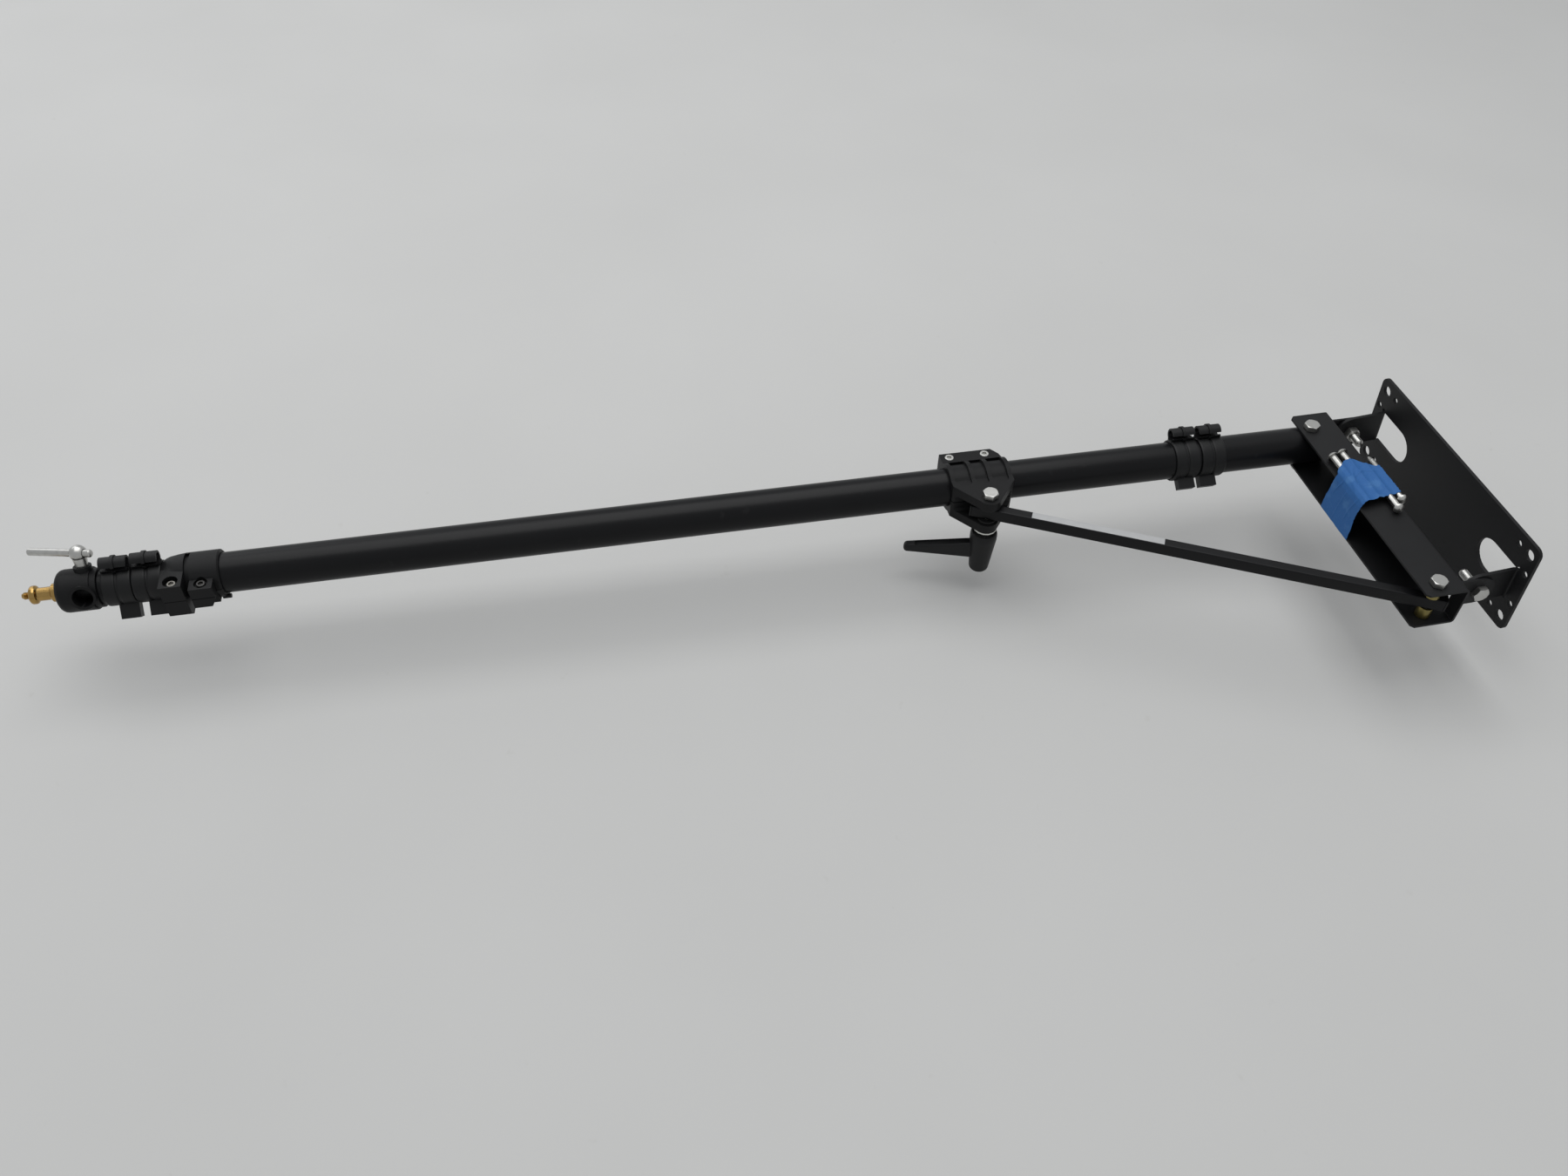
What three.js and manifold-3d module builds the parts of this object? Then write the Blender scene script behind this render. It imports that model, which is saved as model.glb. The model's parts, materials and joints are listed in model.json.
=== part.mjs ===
// A wall mounted boom arm: a folded wall plate, a channel that swivels on it, a telescopic boom,
// a tilt clamp that slides on the boom with its strut, and a spigot socket at the front end.
// Millimetres. +Z is up the wall, the boom runs out of the wall along -Y, and X is across.
// The origin is the centre of the wall plate's back face.
import * as THREE from 'three';
import { mergeVertices } from 'three/addons/utils/BufferGeometryUtils.js';
import Module from 'manifold-3d';

const wasm = await Module();
wasm.setup();

// Clearances and steps shared by all pieces
const gap = 0.3;
const labelGap = 0.05;
const overrun = 2;
const weld = 1e-4;
const degree = Math.PI / 180;
const tubeSteps = 28;
const clipSteps = 24;
const boltSteps = 14;
const hexSteps = 12;
const smallSteps = 10;

// Wall plate, folded from one sheet
const plateLength = 250;
const plateWidth = 98;
const plateSheet = 3;
const plateCorner = 7;
const wallHoleInset = 11.5;
const wallHoleEnd = 10;
const wallHoleAcross = plateWidth - 2 * wallHoleInset;
const wallHoleAlong = plateLength - 2 * wallHoleEnd;
const wallHoleBore = 10.5;
const pilotBore = 5;
const pilotDrop = 15;
const pilotStep = 19;
const pilotLift = 4.3;
const plateEarWidth = 33;
const windowPast = 3;
const earWidth = 29;
const earInset = 14.5;
const earTop = plateLength / 2 - earInset;
const foldRadius = 2;
const reliefBore = 4.4;

// Swivel axis and how the arm stands in the photograph
const swivelReach = 35;
const swivelRest = 4.45 * degree;
const tiltRest = 0.92 * degree;

// Hex bolts and nuts, all of one size
const boltBore = 8;
const boltFlats = 13;
const boltHead = 5.3;
const nutHeight = 6.5;
const domeHeight = 4;
const swivelShank = 25;
const hexChamfer = 0.8;

// Swivel channel
const channelSheet = 2;
const channelWidth = 39.6;
const channelDepth = 40;
const channelOver = 8.5;
const channelUnder = 16;
const channelTop = earTop + channelOver;
const channelBottom = earTop + channelUnder;
const channelFold = 1;
const channelChamfer = 3;
const webReach = 24.3;

// Boom pivot and strut pivot, from the swivel axis
const boomPivotOut = 53;
const boomPivotInset = 20.5;
const boomPivotUp = channelTop - boomPivotInset;
const strutPivotOut = 48.2;
const strutPivotInset = 12.1;
const strutPivotDown = channelBottom - strutPivotInset;

// Boom tubes
const outerBore = 32.6;
const outerTube = 35;
const outerTail = 17;
const outerFront = 1040;
const innerTube = 30;
const innerWall = 1.5;
const innerTail = 80;
const innerPast = 62;
const innerFront = outerFront + innerPast;
const insertLength = 36;
const insertFlange = 1.6;
const glideLength = 14;
const glidePlug = 12;
const bushFlange = 2;
const bushLength = 30;

// Tilt clamp: two castings joined by screws behind the tube, with ears below it
const clampPlace = 332.6;
const clampDrop = 38.8;
const clampLength = 58;
const clampRing = 22;
const clampEarOut = 18;
const clampBand = 1.7;
const clampRib = 4;
const ribShare = 0.276;
const ribPitch = clampLength * ribShare;
const rimWidth = 4;
const bandLow = Math.sqrt((clampRing - clampBand) ** 2 - (clampEarOut - clampBand) ** 2);
const bandHigh = 14;
const bandFoot = 21;
const clampSplit = 1;
const clampThroat = 22.5;
const lugRise = 16;
const lugReach = 28;
const lugChamfer = 10;
const clampEarIn = 9;
const clampTip = 11;
const clampShoulder = 20;
const clampScrewReach = 22.4;
const clampScrewShare = 0.586;
const clampScrewPitch = clampLength * clampScrewShare;
const clampScrewShift = 3.5;
const screwBore = 5;
const screwHead = 8.5;
const screwHeadHeight = 3;
const screwSocket = 4;

// Indexing lever under the clamp
const leverWasher = 1.6;
const leverWasherWidth = 22;
const leverNeck = 14;
const leverNeckDrop = 4;
const hubTopWidth = 23;
const hubWidth = 25;
const hubFootWidth = 18.5;
const hubShoulder = 4;
const hubHeight = 47;
const hubRound = 3;
const leverReach = 73;
const leverRootHeight = 23;
const leverTipHeight = 12;
const leverThickness = 11;
const leverGroove = 4;
const grooveDepth = 1.5;
const leverRootDrop = 22;
const leverTipDrop = 28;
const leverRest = 17 * degree;
const clampBoltShank = 62;
const insertWall = 2.6;
const leverScrewHead = 9;

// Strut, a rectangular tube
const strutThick = 12;
const strutWide = 10;
const strutWall = 1.5;
const strutRound = 1.5;
const strutFrontOver = 16;
const strutRearOver = 14;
const strutPlug = 8;
const plugRim = 1.5;
const washerWidth = 18;
const spacerWidth = 13;
const labelSetback = 40;
const labelLength = 118;
const labelSheet = 0.25;
const labelMargin = 0.7;

// Lock collar at the mouth of the outer tube: two bands with a groove between, and a lug on each
const lockBack = 37;
const lockStart = outerFront - lockBack;
const lockLength = 47;
const lockRing = 20.7;
const lockNose = 17.2;
const lockEdge = 2.4;
const lockGroove = 4;
const lockGrooveDepth = 2.6;
const lockGrooveShare = 0.51;
const lockGrooveTop = 9;
const lockSplit = 0.6;
const lockLugInset = 5;
const lockLugReach = 29;
const lockLugRound = 4;
const lockRearTop = 11.3;
const lockRearFoot = 14;
const lockFrontTop = 17.2;
const lockFrontFoot = 20;
const lockChamfer = 8;
const lockScrewReach = 21.6;
const lockRearRecess = 11.5;
const lockRearDepth = 2.6;
const lockFrontRecess = 12.6;
const lockFrontDepth = 5;
const lockNub = 4;
const lockNubReach = 3;
const lockHead = 7.6;
const lockHeadHeight = 2.2;

// Cable clips
const clipWidth = 23.8;
const clipWall = 1.9;
const clipStep = 0.7;
const clipRim = 3;
const clipSlit = 3;
const loopWidth = 13;
const loopBore = 9.4;
const loopSink = 1.6;
const loopEnd = 2.2;
const loopMouth = 3;
const mouthTurn = 100 * degree;
const loopNub = 4;
const loopNubRise = 0.8;
const stopReach = 4;
const stopWidth = 7;
const stopThick = 1.4;
const footLength = 16;
const footThick = 8;
const footRadius = 29;
const footTurn = 30 * degree;
const footSet = 4;
const rearClipFirst = 103;
const rearClipPitch = 26;
const clipStart = lockStart + lockLength + gap + clipWidth / 2;
const clipSpacing = clipWidth + 2 * gap;

// End socket, spigot and T-screw
const socketWidth = 37;
const socketLip = 5;
const socketLength = 29;
const socketSeat = innerFront + socketLip;
const socketFront = socketSeat + socketLength;
const socketSkirt = 34;
const socketRound = 6;
const socketPlug = 26;
const crossInset = 6;
const crossPlace = socketSeat + crossInset;
const spigotBore = 16.5;
const crossRim = 21;
const crossRimRise = 1;
const bossWidth = 14.5;
const bossRise = 21.5;
const socketPin = 4;
const pinInset = 12;
const pinPlace = innerFront - pinInset;
const spigotWidth = 15.9;
const spigotNeck = 11.4;
const spigotThread = 6.3;
const spigotInside = 30;
const spigotCollar = 6;
const spigotNeckLength = 11;
const spigotFlange = 7;
const spigotThreadLength = 6;
const spigotChamfer = 1.2;
const screwRoll = 20 * degree;
const tScrewWidth = 10;
const tBallWidth = 15;
const tBallRise = 33;
const tBarWidth = 6.8;
const tBarFront = 47;
const tBarBack = 12.4;
const tBarTurn = -20 * degree;

// Spare screws and the tape that holds them
const spareBore = 6;
const spareLength = 60;
const spareHead = 10;
const spareHeadHeight = 4;
const tapeSheet = 0.5;
const tapeTurn = 12;

// Finishes
function finish(color, roughness, metalness) {
  return new THREE.MeshStandardMaterial({ color, roughness, metalness });
}

const powderBlack = () => finish(0x17181a, 0.55, 0.1);
const satinBlack = () => finish(0x0d0e10, 0.35, 0.2);
const castBlack = () => finish(0x1c1c1e, 0.6, 0.1);
const plasticBlack = () => finish(0x161618, 0.5, 0);
const blackOxide = () => finish(0x1d1c1b, 0.35, 0.8);
const zinc = () => finish(0xb8b8b4, 0.35, 0.9);
const yellowZinc = () => finish(0xb59a4a, 0.4, 0.9);
const brass = () => finish(0xb08840, 0.3, 0.95);
const nylon = () => finish(0xd8d8d0, 0.6, 0);
const labelSilver = () => finish(0xd4d5d6, 0.4, 0.2);
const tapeBlue = () => finish(0x2f6fb4, 0.8, 0);

// Geometry helpers
const acrossX = new THREE.Vector3(1, 0, 0);
const alongY = new THREE.Vector3(0, 1, 0);
const upZ = new THREE.Vector3(0, 0, 1);

function signedVolume(position, index) {
  const corner = [new THREE.Vector3(), new THREE.Vector3(), new THREE.Vector3()];
  let total = 0;
  for (let i = 0; i < index.length; i += 3) {
    corner.forEach((point, k) => point.fromArray(position, index[i + k] * 3));
    total += corner[0].dot(corner[1].clone().cross(corner[2]));
  }
  return total;
}

// A closed three.js geometry as a manifold, with its faces pointing out
function solid(geometry) {
  const plain = geometry.clone();
  plain.deleteAttribute('normal');
  plain.deleteAttribute('uv');
  const merged = mergeVertices(plain, weld);
  const position = merged.attributes.position.array;
  const index = [];
  for (let i = 0; i < merged.index.count; i += 3) {
    const [a, b, c] = [0, 1, 2].map((k) => merged.index.getX(i + k));
    if (a !== b && b !== c && c !== a) index.push(a, b, c);
  }
  if (signedVolume(position, index) < 0) index.reverse();
  const mesh = new wasm.Mesh({
    numProp: 3,
    vertProperties: Float32Array.from(position),
    triVerts: Uint32Array.from(index),
  });
  return new wasm.Manifold(mesh);
}

function geometryOf(body) {
  const mesh = body.getMesh();
  const geometry = new THREE.BufferGeometry();
  geometry.setAttribute('position', new THREE.BufferAttribute(Float32Array.from(mesh.vertProperties), 3));
  geometry.setIndex(new THREE.BufferAttribute(Uint32Array.from(mesh.triVerts), 1));
  return geometry;
}

// Joins the parts, takes away the cutters, and keeps what lies inside every limit
function carve(parts, cutters = [], limits = []) {
  let body = solid(parts[0]);
  for (const part of parts.slice(1)) body = body.add(solid(part));
  for (const cutter of cutters) body = body.subtract(solid(cutter));
  for (const limit of limits) body = body.intersect(solid(limit));
  return geometryOf(body);
}

// A flat shape pushed along an axis, centred on its plane: drawn in (y, z) for x,
// in (x, z) for y and in (x, y) for z
function prism(shape, depth, along) {
  const body = new THREE.ExtrudeGeometry(shape, { depth, bevelEnabled: false });
  body.translate(0, 0, -depth / 2);
  if (along === 'x') body.applyMatrix4(new THREE.Matrix4().makeBasis(alongY, upZ, acrossX));
  if (along === 'y') body.rotateX(Math.PI / 2);
  return body;
}

// A profile of [radius, height] points turned about a direction
function turned(profile, direction, steps = boltSteps) {
  const points = profile.map(([radius, height]) => new THREE.Vector2(radius, height));
  const body = new THREE.LatheGeometry(points, steps);
  const turn = new THREE.Quaternion().setFromUnitVectors(alongY, direction);
  return body.applyQuaternion(turn);
}

function rod(radius, from, to, direction, steps = boltSteps) {
  return turned([[0, from], [radius, from], [radius, to], [0, to]], direction, steps);
}

function ring(outer, inner, from, to, direction, steps = boltSteps) {
  return turned([[inner, from], [outer, from], [outer, to], [inner, to], [inner, from]], direction, steps);
}

function polygon(points, holes = []) {
  const outline = (list) => list.map(([x, y]) => new THREE.Vector2(x, y));
  const shape = new THREE.Shape(outline(points));
  shape.holes = holes.map((hole) => new THREE.Path(outline(hole)));
  return shape;
}

// Points along an arc, with as many steps as its share of a full circle of steps
function arc(x, y, radius, from, to, circleSteps = boltSteps) {
  const steps = Math.max(1, Math.round((Math.abs(to - from) / (2 * Math.PI)) * circleSteps));
  return Array.from({ length: steps + 1 }, (_, i) => {
    const angle = from + ((to - from) * i) / steps;
    return [x + radius * Math.cos(angle), y + radius * Math.sin(angle)];
  });
}

function block(x0, x1, y0, y1, z0, z1) {
  const body = new THREE.BoxGeometry(x1 - x0, y1 - y0, z1 - z0);
  return body.translate((x0 + x1) / 2, (y0 + y1) / 2, (z0 + z1) / 2);
}

function roundedRectangle(width, height, radius, circleSteps) {
  const x = width / 2 - radius;
  const y = height / 2 - radius;
  return [
    ...arc(x, y, radius, 0, Math.PI / 2, circleSteps),
    ...arc(-x, y, radius, Math.PI / 2, Math.PI, circleSteps),
    ...arc(-x, -y, radius, Math.PI, 1.5 * Math.PI, circleSteps),
    ...arc(x, -y, radius, 1.5 * Math.PI, 2 * Math.PI, circleSteps),
  ];
}

function roundHole(x, y, bore, circleSteps) {
  return arc(x, y, bore / 2, 2 * Math.PI, 0, circleSteps).slice(1);
}

function piece(name, geometry, material) {
  const mesh = new THREE.Mesh(geometry, material);
  mesh.name = name;
  return mesh;
}

// Hex bolts and nuts

// A hexagon with its crown edge turned off, from its seat at 0 to its height
function hexagon(flats, height, direction) {
  const corner = flats / 2 / Math.cos(Math.PI / 6);
  const hex = rod(corner, 0, height, direction, 6);
  const crown = turned([
    [0, -overrun],
    [corner + overrun, -overrun],
    [corner + overrun, height - hexChamfer - overrun / 2],
    [flats / 2, height],
    [0, height],
  ], direction, hexSteps);
  return carve([hex], [], [crown]);
}

// A bolt whose head sits on the plane at 0 and points along a direction
function hexBolt(shank, direction) {
  return carve([
    hexagon(boltFlats, boltHead, direction),
    rod(boltBore / 2, -shank, overrun, direction, hexSteps),
  ]);
}

// A nut from its seat at 0 along a direction, open right through
function hexNut(direction) {
  const bore = rod(boltBore / 2 + gap, -overrun, nutHeight + overrun, direction);
  return carve([hexagon(boltFlats, nutHeight, direction)], [bore]);
}

// A nut whose bore is closed by a dome
function domeNut(direction) {
  const dome = turned([
    [0, nutHeight - hexChamfer],
    [boltFlats / 2 - hexChamfer, nutHeight - hexChamfer],
    [boltFlats / 2 - hexChamfer, nutHeight],
    [boltFlats / 2 - 2 * hexChamfer, nutHeight + domeHeight / 2],
    [boltFlats / 4, nutHeight + domeHeight * 0.85],
    [0, nutHeight + domeHeight],
  ], direction);
  const bore = rod(boltBore / 2 + gap, -overrun, nutHeight + domeHeight / 2, direction);
  return carve([hexagon(boltFlats, nutHeight, direction), dome], [bore]);
}

// Folded ears

// An ear folded out of a sheet, drawn with the sheet's near face at y = 0 and the ear along +Y.
// Its upper face is at the given height, and the swivel bolt's hole is at the given reach.
function foldedEar(sheet, width, radius, reach, height) {
  const centre = height + radius;
  const bend = polygon([
    [-sheet, centre + overrun],
    [0, centre + overrun],
    ...arc(radius, centre, radius, Math.PI, 1.5 * Math.PI, smallSteps),
    [radius + overrun, height],
    [radius + overrun, height - sheet],
    ...arc(radius, centre, radius + sheet, 1.5 * Math.PI, Math.PI, smallSteps),
  ]);
  const outline = [
    [-width / 2, radius],
    [width / 2, radius],
    ...arc(0, reach, width / 2, 0, Math.PI, tubeSteps),
  ];
  const flat = polygon(outline, [roundHole(0, reach, boltBore + 2 * gap)]);
  const tongue = prism(flat, sheet, 'z').translate(0, 0, height - sheet / 2);
  return [prism(bend, width, 'x'), tongue];
}

// The window that the ear leaves, with a relief notch at each end of the fold
function earWindow(sheet, width, radius, reach, height, face) {
  const top = height + radius;
  const outline = polygon([
    [width / 2, top],
    [-width / 2, top],
    ...arc(0, top - reach, width / 2, Math.PI, 2 * Math.PI, tubeSteps),
  ]);
  const depth = sheet + 2 * overrun;
  const window = prism(outline, depth, 'y').translate(0, face, 0);
  const notches = [-1, 1].map((side) => {
    const notch = rod(reliefBore / 2, -depth / 2, depth / 2, alongY, smallSteps);
    return notch.translate(side * (width / 2 + reliefBore / 4), face, height);
  });
  return [window, ...notches];
}

// The same pieces again, upside down
function mirrored(geometries) {
  return geometries.map((geometry) => geometry.clone().scale(1, 1, -1));
}

// Wall plate
function wallPlate() {
  const across = wallHoleAcross / 2;
  const along = wallHoleAlong / 2;
  const holes = [];
  for (const side of [-1, 1]) {
    for (const end of [-1, 1]) {
      holes.push(roundHole(side * across, end * along, wallHoleBore));
      holes.push(roundHole(side * across, end * (along - pilotDrop), pilotBore, smallSteps));
      holes.push(roundHole(side * (across - pilotStep), end * (along + pilotLift), pilotBore, smallSteps));
    }
  }
  const panel = polygon(roundedRectangle(plateWidth, plateLength, plateCorner), holes);
  const sheet = prism(panel, plateSheet, 'y').translate(0, -plateSheet / 2, 0);
  const reach = swivelReach - plateSheet;
  const windowReach = reach + windowPast;
  const windows = earWindow(plateSheet, plateEarWidth, foldRadius, windowReach, earTop, -plateSheet / 2);
  const cut = carve([sheet], [...windows, ...mirrored(windows)]);
  const ears = foldedEar(plateSheet, plateEarWidth, foldRadius, reach, earTop);
  ears.forEach((ear) => ear.scale(1, -1, 1).translate(0, -plateSheet, 0));
  return carve([cut, ...ears, ...mirrored(ears)]);
}

// Swivel channel, in the swivel's own frame
const channelInside = channelWidth / 2 - channelSheet;
const channelEarTop = earTop + gap + channelSheet;
const channelFree = webReach + channelDepth;

function channelSection() {
  const half = channelWidth / 2;
  const outer = channelFold + channelSheet;
  const bend = half - outer;
  const back = -webReach - outer;
  return polygon([
    [half, -channelFree],
    ...arc(bend, back, outer, 0, Math.PI / 2, smallSteps),
    ...arc(-bend, back, outer, Math.PI / 2, Math.PI, smallSteps),
    [-half, -channelFree],
    [-channelInside, -channelFree],
    ...arc(-bend, back, channelFold, Math.PI, Math.PI / 2, smallSteps),
    ...arc(bend, back, channelFold, Math.PI / 2, 0, smallSteps),
    [channelInside, -channelFree],
  ]);
}

function freeCorner(height, side) {
  const corner = polygon([
    [-channelFree - overrun, height + side * overrun],
    [-channelFree + channelChamfer, height + side * overrun],
    [-channelFree + channelChamfer, height],
    [-channelFree, height - side * channelChamfer],
    [-channelFree - overrun, height - side * channelChamfer],
  ]);
  return prism(corner, channelWidth + 2 * overrun, 'x');
}

function swivelChannel() {
  const length = channelTop + channelBottom;
  const middle = (channelTop - channelBottom) / 2;
  const body = prism(channelSection(), length, 'z').translate(0, 0, middle);
  const pivot = rod(boltBore / 2 + gap, -channelWidth, channelWidth, acrossX);
  const cutters = [
    pivot.clone().translate(0, -boomPivotOut, boomPivotUp),
    pivot.clone().translate(0, -strutPivotOut, -strutPivotDown),
    freeCorner(channelTop, 1),
    freeCorner(-channelBottom, -1),
  ];
  const face = -webReach - channelSheet / 2;
  const windows = earWindow(channelSheet, earWidth, channelFold, webReach, channelEarTop, face);
  const cut = carve([body], [...cutters, ...windows, ...mirrored(windows)]);
  const ears = foldedEar(channelSheet, earWidth, channelFold, webReach, channelEarTop);
  ears.forEach((ear) => ear.translate(0, -webReach, 0));
  return carve([cut, ...ears, ...mirrored(ears)]);
}

const up = upZ;
const down = upZ.clone().negate();
const right = acrossX;
const left = acrossX.clone().negate();
const forward = alongY.clone().negate();

function swivelBolt(direction) {
  const seat = channelEarTop + gap;
  return hexBolt(swivelShank, direction).translate(0, 0, direction.z * seat);
}

function swivelNut(direction) {
  const seat = earTop - plateSheet - gap;
  return hexNut(direction.clone().negate()).translate(0, 0, direction.z * seat);
}

// Pivot bolts of the channel
const flangeSeat = channelWidth / 2 + gap;

function boomPivotBolt() {
  const shank = 2 * flangeSeat + nutHeight;
  return hexBolt(shank, right).translate(flangeSeat, -boomPivotOut, boomPivotUp);
}

function boomPivotNut() {
  return domeNut(left).translate(-flangeSeat, -boomPivotOut, boomPivotUp);
}

// The strut's rear pivot: the bolt stops at the strut, because the linkage is opened there
function strutPivotBolt() {
  const shank = flangeSeat - strutThick / 2 - gap;
  return hexBolt(shank, right).translate(flangeSeat, -strutPivotOut, -strutPivotDown);
}

function strutPivotNut() {
  const stud = rod(boltBore / 2, -(flangeSeat - strutThick / 2 - gap), nutHeight + overrun, left);
  const nut = carve([hexagon(boltFlats, nutHeight, left), stud]);
  return nut.translate(-flangeSeat, -strutPivotOut, -strutPivotDown);
}

function strutSpacer(direction) {
  const from = strutThick / 2 + gap;
  const to = channelInside - gap;
  const body = ring(spacerWidth / 2, boltBore / 2 + gap, from, to, direction);
  return body.translate(0, -strutPivotOut, -strutPivotDown);
}

// Spare screws, taped to the channel's upper flange: each row is a share of the flange's depth,
// a share of the screw's length for the underside of the head, and the way the shank points
const spareShares = [
  [0.84, 0.83, -1],
  [0.57, 0.88, -1],
  [0.27, -0.42, 1],
  [0.04, -0.25, 1],
];
const spareSeat = channelWidth / 2 + gap + spareHead / 2;

function spareScrew([outShare, heightShare, way]) {
  const screw = turned([
    [0, -spareHeadHeight],
    [spareHead / 4, -spareHeadHeight],
    [spareHead / 2, -spareHeadHeight / 3],
    [spareHead / 2, 0],
    [spareBore / 2, 0],
    [spareBore / 2, spareLength - spareBore],
    [0, spareLength],
  ], way > 0 ? up : down, smallSteps);
  return screw.translate(spareSeat, -webReach - outShare * channelDepth, heightShare * spareLength);
}

// Masking tape: one strip over the screws, down the open side and under the lower flange
function tapeSection() {
  const low = channelWidth / 2 + gap;
  const high = spareSeat + spareBore / 2 + gap;
  const front = channelFree + gap;
  const outer = [
    [high + tapeSheet, -webReach],
    [high + tapeSheet, -front + spareBore / 2 - tapeSheet],
    [low + tapeSheet, -front - tapeSheet],
    [-low - tapeSheet, -front - tapeSheet],
    [-low - tapeSheet, -front + tapeTurn],
  ];
  const inner = [
    [-low, -front + tapeTurn],
    [-low, -front],
    [low, -front],
    [high, -front + spareBore / 2],
    [high, -webReach],
  ];
  return polygon([...outer, ...inner]);
}

// The strip's torn outline, seen across the arm: shares of a screw's length along it
const tapeShares = { top: 0.55, topRear: 0.75, rear: 0.5, foot: -0.18, bottom: -0.26 };

function maskingTape() {
  const strip = prism(tapeSection(), 2 * spareLength, 'z');
  const back = -webReach;
  const front = -channelFree;
  const edge = polygon([
    [front - spareBore, tapeShares.top * spareLength],
    [front + spareBore, tapeShares.top * spareLength],
    [(front + back) / 2, tapeShares.topRear * spareLength],
    [back, tapeShares.rear * spareLength],
    [back + spareBore, tapeShares.rear * spareLength],
    [back + spareBore, tapeShares.foot * spareLength],
    [back - spareBore, tapeShares.foot * spareLength],
    [front - spareBore, tapeShares.bottom * spareLength],
  ]);
  return carve([strip], [], [prism(edge, 4 * channelWidth, 'x')]);
}

// Boom tubes, in the boom's own frame: the pivot at 0 and the boom forward along -Y
const tubeClear = outerTube / 2 + gap;

function outerBoomTube() {
  const body = ring(outerTube / 2, outerBore / 2, -outerTail, outerFront, forward, tubeSteps);
  return carve([body], [rod(boltBore / 2 + gap, -outerTube, outerTube, acrossX)]);
}

function rearInsert() {
  const plug = turned([
    [0, -outerTail - gap - insertFlange],
    [outerTube / 2, -outerTail - gap - insertFlange],
    [outerTube / 2, -outerTail - gap],
    [outerBore / 2 - gap, -outerTail - gap],
    [outerBore / 2 - gap, insertLength - outerTail],
    [0, insertLength - outerTail],
  ], forward, boltSteps);
  return carve([plug], [rod(boltBore / 2 + gap, -outerTube, outerTube, acrossX)]);
}

function guideBush() {
  return turned([
    [innerTube / 2 + gap, outerFront - bushLength],
    [outerBore / 2 - gap, outerFront - bushLength],
    [outerBore / 2 - gap, outerFront + gap],
    [outerTube / 2, outerFront + gap],
    [outerTube / 2, outerFront + gap + bushFlange],
    [innerTube / 2 + gap, outerFront + gap + bushFlange],
    [innerTube / 2 + gap, outerFront - bushLength],
  ], forward, clipSteps);
}

function innerBoomTube() {
  const body = ring(innerTube / 2, innerTube / 2 - innerWall, innerTail, innerFront, forward, tubeSteps);
  return carve([body], [rod(socketPin / 2 + gap, -innerTube, innerTube, acrossX).translate(0, -pinPlace, 0)]);
}

function rearGlide() {
  const plug = innerTube / 2 - innerWall - gap;
  return turned([
    [0, innerTail - gap - glideLength],
    [outerBore / 2 - 2 * gap, innerTail - gap - glideLength],
    [outerBore / 2 - gap, innerTail - gap - glideLength + gap],
    [outerBore / 2 - gap, innerTail - gap],
    [plug, innerTail - gap],
    [plug, innerTail + glidePlug],
    [0, innerTail + glidePlug],
  ], forward, boltSteps);
}

// Tilt clamp, in the clamp's own frame: the clamp bolt's axis at 0, the tube above it

// The upper half's section in (x, z), seen along the boom
function clampSection() {
  const split = clampSplit / 2;
  const lugAngle = Math.acos(lugRise / clampRing);
  const earAngle = -Math.acos(clampEarOut / clampRing);
  const start = Math.acos(split / tubeClear);
  return polygon([
    [split, clampDrop + lugReach],
    [lugRise, clampDrop + lugReach],
    ...arc(0, clampDrop, clampRing, lugAngle, earAngle, tubeSteps),
    [clampEarOut, -clampTip],
    [clampEarIn, -clampTip],
    [clampEarIn, clampDrop - clampThroat - overrun],
    [clampEarIn - overrun, clampDrop - clampThroat],
    [split, clampDrop - clampThroat],
    ...arc(0, clampDrop, tubeClear, -start, start, tubeSteps),
  ]);
}

// Its outline in (y, z): ears that narrow to a round tip, and a lug with one sloped end
function clampOutline() {
  const half = clampLength / 2;
  const lug = clampDrop + lugReach + overrun;
  const shoulder = clampDrop - clampShoulder;
  const slope = Math.atan2(half, shoulder);
  return polygon([
    [-half, shoulder],
    [-half, lug],
    [half - lugChamfer, lug],
    [half - lugChamfer / 4, clampDrop + clampRing - clampBand],
    [half, clampDrop + clampRing / 2],
    [half, shoulder],
    ...arc(0, 0, clampTip, -slope / 2, -Math.PI + slope / 2, clipSteps),
  ]);
}

// The bands between the ribs are lower than the ribs and rims
function clampBands() {
  const half = clampLength / 2;
  const rib = (ribPitch - clampRib) / 2;
  const spans = [
    [-half + rimWidth, -rib - clampRib],
    [-rib, rib],
    [rib + clampRib, half - rimWidth],
  ];
  return spans.map(([from, to]) => {
    const band = ring(2 * clampRing, clampRing - clampBand, from, to, alongY, tubeSteps);
    band.translate(0, 0, clampDrop);
    const high = clampDrop + bandHigh;
    const low = clampDrop - bandLow;
    const foot = clampDrop - bandFoot + (to - from) / 3;
    const keep = block(0, 2 * clampRing, from - overrun, to + overrun, low, high);
    const pocket = polygon([
      [from, low + weld],
      [from, foot],
      ...arc((from + to) / 2, foot, (to - from) / 2, Math.PI, 2 * Math.PI, boltSteps).map(([y, z]) => [
        y,
        foot + ((z - foot) * 2) / 3,
      ]),
      [to, low + weld],
    ]);
    const depth = 2 * clampRing;
    const flat = prism(pocket, depth, 'x').translate(clampEarOut - clampBand + depth / 2, 0, 0);
    return carve([carve([band], [], [keep]), flat]);
  });
}

const clampScrewPlaces = [-1, 1].map((side) => -clampScrewShift + (side * clampScrewPitch) / 2);

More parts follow.
